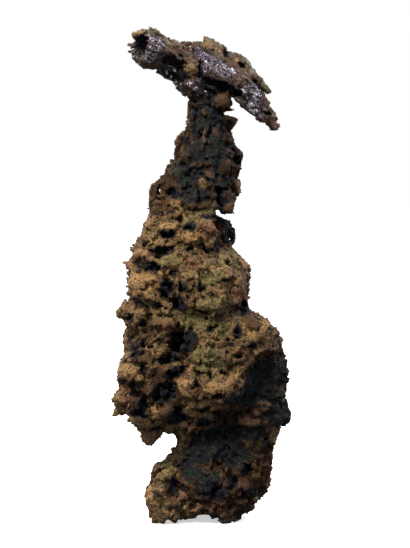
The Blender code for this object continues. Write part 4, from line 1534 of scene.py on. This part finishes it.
    def sculpt(self, clay: Clay, rng: np.random.Generator) -> None:
        """Works the block into rock.

        Args:
            clay: The block.
            rng: Where everything that is scattered comes from.
        """
        block = clay.grid.copy()
        clay.grid += self.shrink + self.lumps.over(clay) + self.bumps.over(clay)
        depth, height = clay.levels(1), clay.levels(2)
        clay.grid += self.back_lumps.over(clay, ramp(depth, *self.back_edge).astype(np.float32))
        clay.grid += self.flutes.over(clay, ramp(height, *self.flute_edge).astype(np.float32))
        clay.wrinkle(*self.wide_wrinkle)
        for tier in self.coarse_tiers:
            self.scatter(clay, tier, rng)
        clay.set_marks(self.knobs, False, self.knob_blend)
        clay.set_marks(self.pores, True, self.pore_blend)
        clay.wrinkle(*self.fine_wrinkle)
        for tier in self.fine_tiers:
            self.scatter(clay, tier, rng)
        clay.grid += self.grit.over(clay)
        clay.hold_within(block, self.most_proud)
        clay.set_marks(self.gaps, True, self.gap_blend)
        clay.set_marks(self.proud, False, self.proud_blend)
        clay.fit_outline(self.outline, self.most_drawn, self.drawn_smooth)
        clay.set_marks(self.gaps, True, self.gap_blend)
        self.fray(clay, np.random.default_rng(self.fray_seed))
        clay.grid = np.maximum(clay.grid, -height)

    def grains(self, clay: Clay, rng: np.random.Generator) -> tuple[np.ndarray, np.ndarray, np.ndarray]:
        """Scatters the grains over the skin.

        Args:
            clay: The sculpted clay.
            rng: Where their places, sizes and turns come from.

        Returns:
            Their middles, their turns and their half sizes.
        """
        points, normals = clay.skin_points(self.grain_spacing, rng)
        kept = (rng.random(len(points)) < self.grain_share) & (points[:, 2] > self.grain_floor)
        points, normals = points[kept], normals[kept]
        least, more = self.grain_size
        size = least + more * rng.random(len(points)) ** 2.0
        sizes = size[:, None] * rng.uniform(*self.grain_uneven, (len(points), 3))
        centres = points - normals * (self.grain_sink * size[:, None])
        return centres, turns_along(normals, self.grain_wobble, rng), sizes


@dataclass
class CrystalMass(GrownPart):
    """The dark crystals: a hollow-ended tube, a spindle and the plate over it, grown together.

    A streak is its length, width and height. The trims cut the outline back once the crystals are sculpted,
    and the teeth are pressed on after them.
    """

    name: str = "oxide_crystals"
    node: str = "crystal"
    slot: str = "dark_crystal"
    finish: Finish = StriatedOxide()
    pitch: float = 0.17
    coarse: float = 0.5
    triangles: int = 150000
    seed: int = 19
    shrink: float = 0.2
    most_proud: float = 0.35
    settle: float = 0.45
    bumps: Swell = Swell(1.6, 0.12, 51)
    grit: Swell = Swell(0.5, 0.06, 53)
    wrinkle: tuple[float, float, int] = (1.2, 0.2, 61)
    knob_blend: float = 0.4
    pore_blend: float = 0.2
    trim_blend: float = 0.15
    tooth_blend: float = 0.25
    streaks: tuple[Triple, ...] = ((5.0, 1.1, 0.22), (2.2, 0.45, 0.12))
    tube_seed: int = 81
    tube_growth: Triple = (0.87, 0.41, -0.44)
    spindle_seed: int = 91
    spindle_growth: Triple = (0.72, -0.1, -0.68)
    left: Zone = Zone((-9.0, -2.0, 111.0), (11.0, 30.0, 16.0))
    right: Zone = Zone((8.5, -1.0, 107.0), (14.0, 30.0, 16.0))
    right_edge: Pair = (-2.0, 3.0)
    mouth: Triple = (-14.6, -9.0, 114.6)
    mouth_radii: Triple = (1.6, 4.4, 1.8)
    mouth_blend: float = 0.2
    far_lip: Triple = (-14.2, -2.6, 115.2)
    lip_radii: Triple = (3.2, 1.0, 3.0)
    lip_blend: float = 0.3
    ridges: int = 22
    ridge_radii: Triple = (0.8, 0.5, 0.15)
    ridge_turn: float = 6.0
    ridge_reach: Triple = (1.9, 0.5, 0.2)
    ridge_sink: float = 0.1
    ridge_blend: float = 0.12
    blade_spacing: float = 0.62
    blade_share: float = 0.5
    blade_wobble: Pair = (0.22, 0.25)
    blade_size: Pair = (0.08, 0.1)
    blade_uneven: Pair = (0.7, 1.3)
    blade_stretch: Triple = (2.6, 1.0, 1.0)
    blade_sink: float = 0.3
    knobs: tuple[Mark, ...] = marks(
        (-15.4, 117.4, 2.8, 1.5, 35), (-12.6, 118, 2.6, 1.4, 0), (-10.2, 117.6, 2.6, 1.3, -22),
        (-7.6, 116.2, 3.4, 1.2, -33), (-15.6, 112, 3.4, 0.9, -44), (-13.2, 110.8, 3, 1, -20),
        (1.8, 115.2, 3.6, 2.8, -12), (4.4, 114.4, 3, 1.6, -38), (9, 111.6, 3.2, 1.6, -30),
        (11.9, 109, 3.4, 1.4, -54), (15, 105.2, 3.8, 1.1, -50), (-2.6, 109.1, 3.6, 3, -28),
        (-1.4, 110.8, 2, 1.8), (-3.2, 113.9, 3, 2, -35), (-5.6, 114.4, 2.6, 2.4, -30),
        (-3.1, 106.8, 2.8, 0.8, -28), (-1.2, 104.6, 1.2, 3.6, 8), (-7.4, 107, 8, 1.1, -43),
        (11.8, 102.4, 8.5, 1.6, -43), (13.6, 98.2, 11, 2.2, -40),
    )
    pores: tuple[Mark, ...] = marks(
        (-7.2, 111, 6, 2.4, -10, 2.6), (-5.2, 109, 2.2, 1.8, -40, 2), (-6.6, 107.8, 6, 0.8, -43, 1.6),
        (5, 105.1, 9.4, 2.5, -24, 3), (0.8, 105.6, 1.3, 2.6, 0, 1.6), (0, 109, 0.5, 4.4, 0, 1.2),
        (9.4, 103.4, 3.4, 1.4, -48, 2.4), (6.2, 112.9, 1.2, 2.2, 20, 1.3), (9.9, 110.2, 1.7, 1, -35, 1.4),
        (13.1, 106, 2, 1, -40, 1.6), (14.6, 104, 2.8, 0.5, -43, 0.9), (-1.9, 113.4, 0.9, 0.9, 0, 1),
        (-4.8, 112.4, 1.8, 0.5, -30, 1.2), (15.7, 98.5, 2.4, 0.9, -20, 1.2),
    )
    trims: tuple[Mark, ...] = marks(
        (-11.6, 119.9, 9, 2.4, -6, 12), (-8.6, 118.2, 5.4, 1.8, -35, 12), (-17.2, 118.6, 2, 1.6, 30, 12),
        (-17, 116.2, 2, 1, 0, 12), (-17, 113.6, 2.2, 0.5, 10, 12), (-11.2, 108.6, 1.3, 1.5, 0, 12),
        (4.3, 116.6, 3.6, 1.4, -30, 12), (7.9, 113.8, 3.4, 1.6, -8, 12), (10.9, 113.1, 4.2, 2, -28, 14),
        (13.9, 109.8, 9, 2, -56, 14), (8.2, 101.4, 2.6, 1.4, -45, 14),
    )
    teeth: tuple[Mark, ...] = marks(
        (-2, 105.2, 4.8, 2.4, -35, 4), (-0.4, 104.8, 2, 3.8, 5, 1.2), (-16.8, 114.9, 2, 0.8, -22),
        (-16.7, 113.1, 1.2, 0.7, -45), (-15, 111, 3.8, 1.4, -42), (-12.6, 109.9, 3.2, 2, -8),
        (-14.4, 117.4, 4.2, 1.5, 6, 1.6), (-14.1, 118.5, 0.9, 0.8), (-12.1, 118.5, 1, 0.8),
        (-3.6, 115.1, 2.8, 1.1), (1.6, 116.1, 2.4, 1.2, -5), (5.6, 114.4, 1.8, 0.9, -40),
        (-4.6, 104.3, 3.4, 1.3, -42), (14, 98.6, 9, 2.2, -38), (10.4, 100.8, 5, 1.6, -40),
        (17.3, 96.2, 3.8, 1.7, -46), (15.4, 102, 4, 1.3, -57),
    )
    patches: dict[Patch, tuple[Mark, ...]] = field(
        default_factory=lambda: {
            # Black marks: painted shade in the gaps between the crystals and in the tube's mouth, with dark
            # lines round the mouth.
            Patch.BLACK: marks(
                (-7.2, 111, 6.6, 3, -12), (-6.9, 109, 8, 4.2, -40), (-8.6, 111.6, 3.4, 1.8, -30),
                (1.6, 105.2, 2.4, 2.8), (4.9, 105, 9.8, 2.8, -24), (9.2, 103.4, 4, 2.4, -45),
                (0.8, 104.8, 1.6, 4.2), (-14.5, 114.9, 2.8, 3.2), (15.7, 98.5, 2.8, 1.2, -20),
                (0, 108.8, 0.8, 4.6), (6.2, 112.9, 1.4, 2.2, 20), (9.9, 110.2, 1.9, 1.1, -35),
                (13.1, 106, 2.2, 1.1, -40), (14.6, 104, 3, 0.8, -43),
            )
            + rays((-14.5, 114.9), 2.9, 0.42, (8, 38, 72, 104, 141, 198, 236, 262, 291, 327)),
            Patch.FACE: marks(
                (-10.3, 114.6, 3.2, 5), (-11.6, 112.4, 4.6, 4.4, -20), (-15.6, 111.9, 4, 1.6, -45),
                (-12.4, 115.8, 3.6, 3, -30), (-13.4, 117, 3.4, 1.2, 10), (-13, 114.2, 2, 1, -35),
                (-0.6, 112.9, 3.4, 2.6, -40), (0.9, 109.4, 1.5, 6), (3.3, 109.9, 9.4, 4.2, -34),
                (7.2, 108.8, 3.4, 2.2, -30), (12.4, 102.2, 7.8, 5.2, -45), (-7.4, 106.6, 8.4, 1.4, -42),
                (-2.2, 105.2, 3.6, 1.6, -40), (-0.5, 105.4, 1.4, 3.6), (13.6, 98.4, 5, 1.4, -38),
            ),
            # Glint marks: painted glints in the dark gaps between the crystals.
            Patch.GLINT: marks(
                (-8.9, 111.4, 0.9, 0.8, 20), (-7.6, 110, 1.6, 0.4, -15), (-5.5, 111.1, 1.5, 0.5, 15),
                (-6.3, 108.9, 0.9, 0.8, -30), (-8.2, 108.3, 0.6, 1.4, 15), (-7.2, 107.2, 0.5, 1.2, -10),
                (-6, 106.3, 0.5, 1.4, 10), (-4.9, 105.7, 0.6, 1.2, -15), (2.2, 106.4, 1.2, 0.9, 20),
                (4.2, 105.6, 1.6, 0.5, -30), (6.8, 105.3, 0.9, 0.7), (7.4, 108.9, 1.3, 0.9, 45),
                (10.2, 103.9, 1.8, 0.8, -30), (13, 102.8, 1.6, 0.9, 35), (12, 101, 1.6, 0.8, -30),
                (12.2, 98.9, 1.6, 0.6, -40),
            ),
            # Tan marks: the film's colour, and partly a painted highlight on knob tops.
            Patch.TAN: marks(
                (1.6, 115.3, 3, 2.4, -10), (-15, 117.6, 4, 1, 10), (3.8, 114.2, 3, 1, -38),
                (8.5, 111.5, 1.2, 1), (-2.6, 109, 3.2, 2.8, -25),
            ),
            Patch.OLIVE: marks(
                (-13, 118.3, 6.4, 1.8, -5), (-15.8, 117.2, 2, 2.8), (-7.8, 116.6, 5, 1.5, -33),
                (-4.4, 104.2, 3, 1.2, -42), (3.4, 115.6, 5, 1.2, -22), (11.6, 110, 5, 1.2, -56),
                (15.8, 105, 3.4, 1.2, -54),
            ),
            Patch.RUST: marks(
                (-6.6, 114.2, 5.6, 4.2, -28), (-2.4, 110, 4.4, 4.4, -30), (-3.2, 113.9, 3.4, 2.4, -30),
                (5.4, 113, 5.6, 2, -36), (9.8, 109.4, 9.4, 4.8, -42), (14, 105, 6.6, 2.6, -48),
                (16.9, 96.8, 4.6, 4, -40), (15.6, 101.6, 4.4, 1.6, -60), (-14, 110.2, 5.6, 1.6, -30),
            ),
        }
    )
    wild: dict[Patch, float] = field(
        default_factory=lambda: {Patch.BLACK: 0.7, Patch.FACE: 0.8, Patch.RUST: 0.7, Patch.OLIVE: 0.5}
    )

    def sculpt(self, clay: Clay, rng: np.random.Generator) -> None:
        """Works the block into striated crystals.

        Args:
            clay: The block.
            rng: Where the unevenness of the mouth comes from.
        """
        block = clay.grid.copy()
        clay.grid += self.shrink + self.bumps.over(clay)
        clay.wrinkle(*self.wrinkle)
        clay.set_marks(self.knobs, False, self.knob_blend)
        grown = (
            (self.tube_seed, self.tube_growth, self.left),
            (self.spindle_seed, self.spindle_growth, self.right),
        )
        for seed, growth, where in grown:
            for order, sizes in enumerate(self.streaks):
                clay.streak(growth, *sizes, seed + order, where)
        clay.set_marks(self.pores, True, self.pore_blend)
        clay.press(np.array(self.mouth), self.mouth_radii, leaned(0.0), self.mouth_blend, True)
        clay.press(np.array(self.far_lip), self.lip_radii, leaned(0.0), self.lip_blend, False)
        clay.hold_within(block, self.most_proud)
        clay.set_marks(self.trims, True, self.trim_blend)
        clay.set_marks(self.teeth, False, self.tooth_blend)
        self.ring_mouth(clay, rng)
        clay.grid += self.grit.over(clay)

    def ring_mouth(self, clay: Clay, rng: np.random.Generator) -> None:
        """Sets thin ridges round the tube's mouth, each pointing at its middle.

        Args:
            clay: The clay.
            rng: Where their unevenness comes from.
        """
        reach, right, wobble = self.ridge_reach
        turns = np.linspace(0.0, 360.0, self.ridges, endpoint=False)
        for turn in turns + rng.uniform(-self.ridge_turn, self.ridge_turn, self.ridges):
            across = math.radians(turn)
            out = reach + right * math.cos(across) + rng.uniform(-wobble, wobble)
            x, z = self.mouth[0] + out * math.cos(across), self.mouth[2] + out * math.sin(across)
            place = np.array((x, clay.front(x, z) + self.ridge_sink, z))
            clay.press(place, self.ridge_radii, leaned(turn), self.ridge_blend, False)

    def grains(self, clay: Clay, rng: np.random.Generator) -> tuple[np.ndarray, np.ndarray, np.ndarray]:
        """Scatters small blades over the skin, along the crystals' growth.

        Args:
            clay: The sculpted clay.
            rng: Where their places, sizes and turns come from.

        Returns:
            Their middles, their turns and their half sizes.
        """
        points, normals = clay.skin_points(self.blade_spacing, rng)
        kept = rng.random(len(points)) < self.blade_share
        points, normals = points[kept], normals[kept]
        side = ramp(points[:, 0], *self.right_edge)[:, None]
        along = np.array(self.tube_growth) * (1.0 - side) + np.array(self.spindle_growth) * side
        along = along + self.blade_wobble[0] * rng.standard_normal(points.shape)
        up = unit(normals + self.blade_wobble[1] * rng.standard_normal(points.shape))
        along = unit(along - up * (along * up).sum(axis=1, keepdims=True), SMALL)
        turns = np.stack([along, np.cross(up, along), up], axis=2)
        least, more = self.blade_size
        size = least + more * rng.random(len(points)) ** 2.0
        sizes = size[:, None] * rng.uniform(*self.blade_uneven, (len(points), 3))
        return points - normals * (self.blade_sink * size[:, None]), turns, sizes * self.blade_stretch


@dataclass(frozen=True)
class SoftLight:
    """A square soft light: its name, its place and size in millimetres, its power in watts and its tint."""

    name: str
    place: Triple
    size: float
    power: float
    tint: str


@dataclass
class Studio:
    """A pale floor, soft light mostly from above, and the camera in front.

    The sky brightens between two heights of a direction, from one strength to another.
    """

    aim: Triple = (0.97, 0.0, 59.6)
    distance: float = 600.0
    elevation: float = 3.0
    frame_height: float = 133.1
    sensor: float = 36.0
    sky_edge: Pair = (-0.4, 0.9)
    sky_strength: Pair = (0.22, 1.0)
    floor_reach: float = 3000.0
    floor_roughness: float = 0.9
    floor_glow: float = 0.55
    lights: tuple[SoftLight, ...] = (
        SoftLight("key", (-260.0, -420.0, 560.0), 260.0, 8.0, "#fff4e6"),
        SoftLight("rim", (420.0, 260.0, 420.0), 300.0, 3.0, "#f2f5ff"),
        SoftLight("back", (-380.0, 420.0, 380.0), 300.0, 3.0, "#fff8ee"),
    )

    def add_camera(self) -> None:
        """Sets the camera up in front of the specimen, slightly above its middle."""
        lens = bpy.data.cameras.new("camera")
        lens.sensor_width = self.sensor
        lens.lens = self.distance * self.sensor / self.frame_height
        camera = bpy.data.objects.new("camera", lens)
        rise = math.radians(self.elevation)
        back = Vector((0.0, -math.cos(rise), math.sin(rise)))
        stand(camera, Vector(self.aim) + back * self.distance, -back)
        bpy.context.scene.camera = camera

    def add_light(self, soft: SoftLight) -> None:
        """Adds a light that faces the specimen.

        Args:
            soft: What the light is like.
        """
        light = bpy.data.lights.new(soft.name, "AREA")
        light.size = soft.size * MM
        light.energy = soft.power
        light.color = linear(soft.tint)[:3]
        lamp = bpy.data.objects.new(soft.name, light)
        stand(lamp, Vector(soft.place), (Vector(self.aim) - Vector(soft.place)) * MM)

    def add_world(self) -> None:
        """Makes a sky that is bright overhead and dim below, behind a plain white backdrop."""
        world = bpy.data.worlds.new("studio")
        bpy.context.scene.world = world
        world.use_nodes = True
        tree = world.node_tree
        tree.nodes.clear()
        place = add_node(tree, "ShaderNodeTexCoord", {}, {}).outputs["Generated"]
        height = add_node(tree, "ShaderNodeSeparateXYZ", {}, {0: place}).outputs[2]
        limits = dict(enumerate((height, *self.sky_edge, *self.sky_strength)))
        sky = add_node(tree, "ShaderNodeMapRange", {}, limits).outputs[0]
        soft = add_node(tree, "ShaderNodeBackground", {}, {0: linear("#eef2ff"), 1: sky})
        white = add_node(tree, "ShaderNodeBackground", {}, {0: linear("#ffffff"), 1: 1.0})
        seen = add_node(tree, "ShaderNodeLightPath", {}, {}).outputs["Is Camera Ray"]
        joined = {0: seen, 1: soft.outputs[0], 2: white.outputs[0]}
        mixed = add_node(tree, "ShaderNodeMixShader", {}, joined)
        add_node(tree, "ShaderNodeOutputWorld", {}, {0: mixed.outputs[0]})

    def add_floor(self) -> None:
        """Lays a matt white floor, which throws no light back up."""
        reach = self.floor_reach
        corners = np.array([(-reach, -reach, 0), (reach, -reach, 0), (reach, reach, 0), (-reach, reach, 0)])
        floor = new_object("floor", corners, np.array([(0, 1, 2, 3)]))
        material = bpy.data.materials.new("matt white floor")
        material.use_nodes = True
        shader = material.node_tree.nodes["Principled BSDF"]
        shader.inputs["Base Color"].default_value = linear("#f4f4f4")
        shader.inputs["Roughness"].default_value = self.floor_roughness
        shader.inputs["Emission Color"].default_value = linear("#ffffff")
        shader.inputs["Emission Strength"].default_value = self.floor_glow
        floor.data.materials.append(material)
        floor.visible_diffuse = False
        floor.visible_glossy = False

    def build(self) -> None:
        """Sets up the camera, the lights and the floor."""
        self.add_camera()
        self.add_world()
        self.add_floor()
        for soft in self.lights:
            self.add_light(soft)
        scene = bpy.context.scene
        scene.view_settings.view_transform = "Standard"
        scene.view_settings.look = "None"


def main() -> None:
    """Builds the specimen and its studio."""
    logging.basicConfig(level=logging.INFO, format="%(relativeCreated)d ms: %(message)s")
    Studio().build()
    for part in (RockMatrix(), CrystalMass()):
        part.build()


if __name__ == "__main__":
    main()
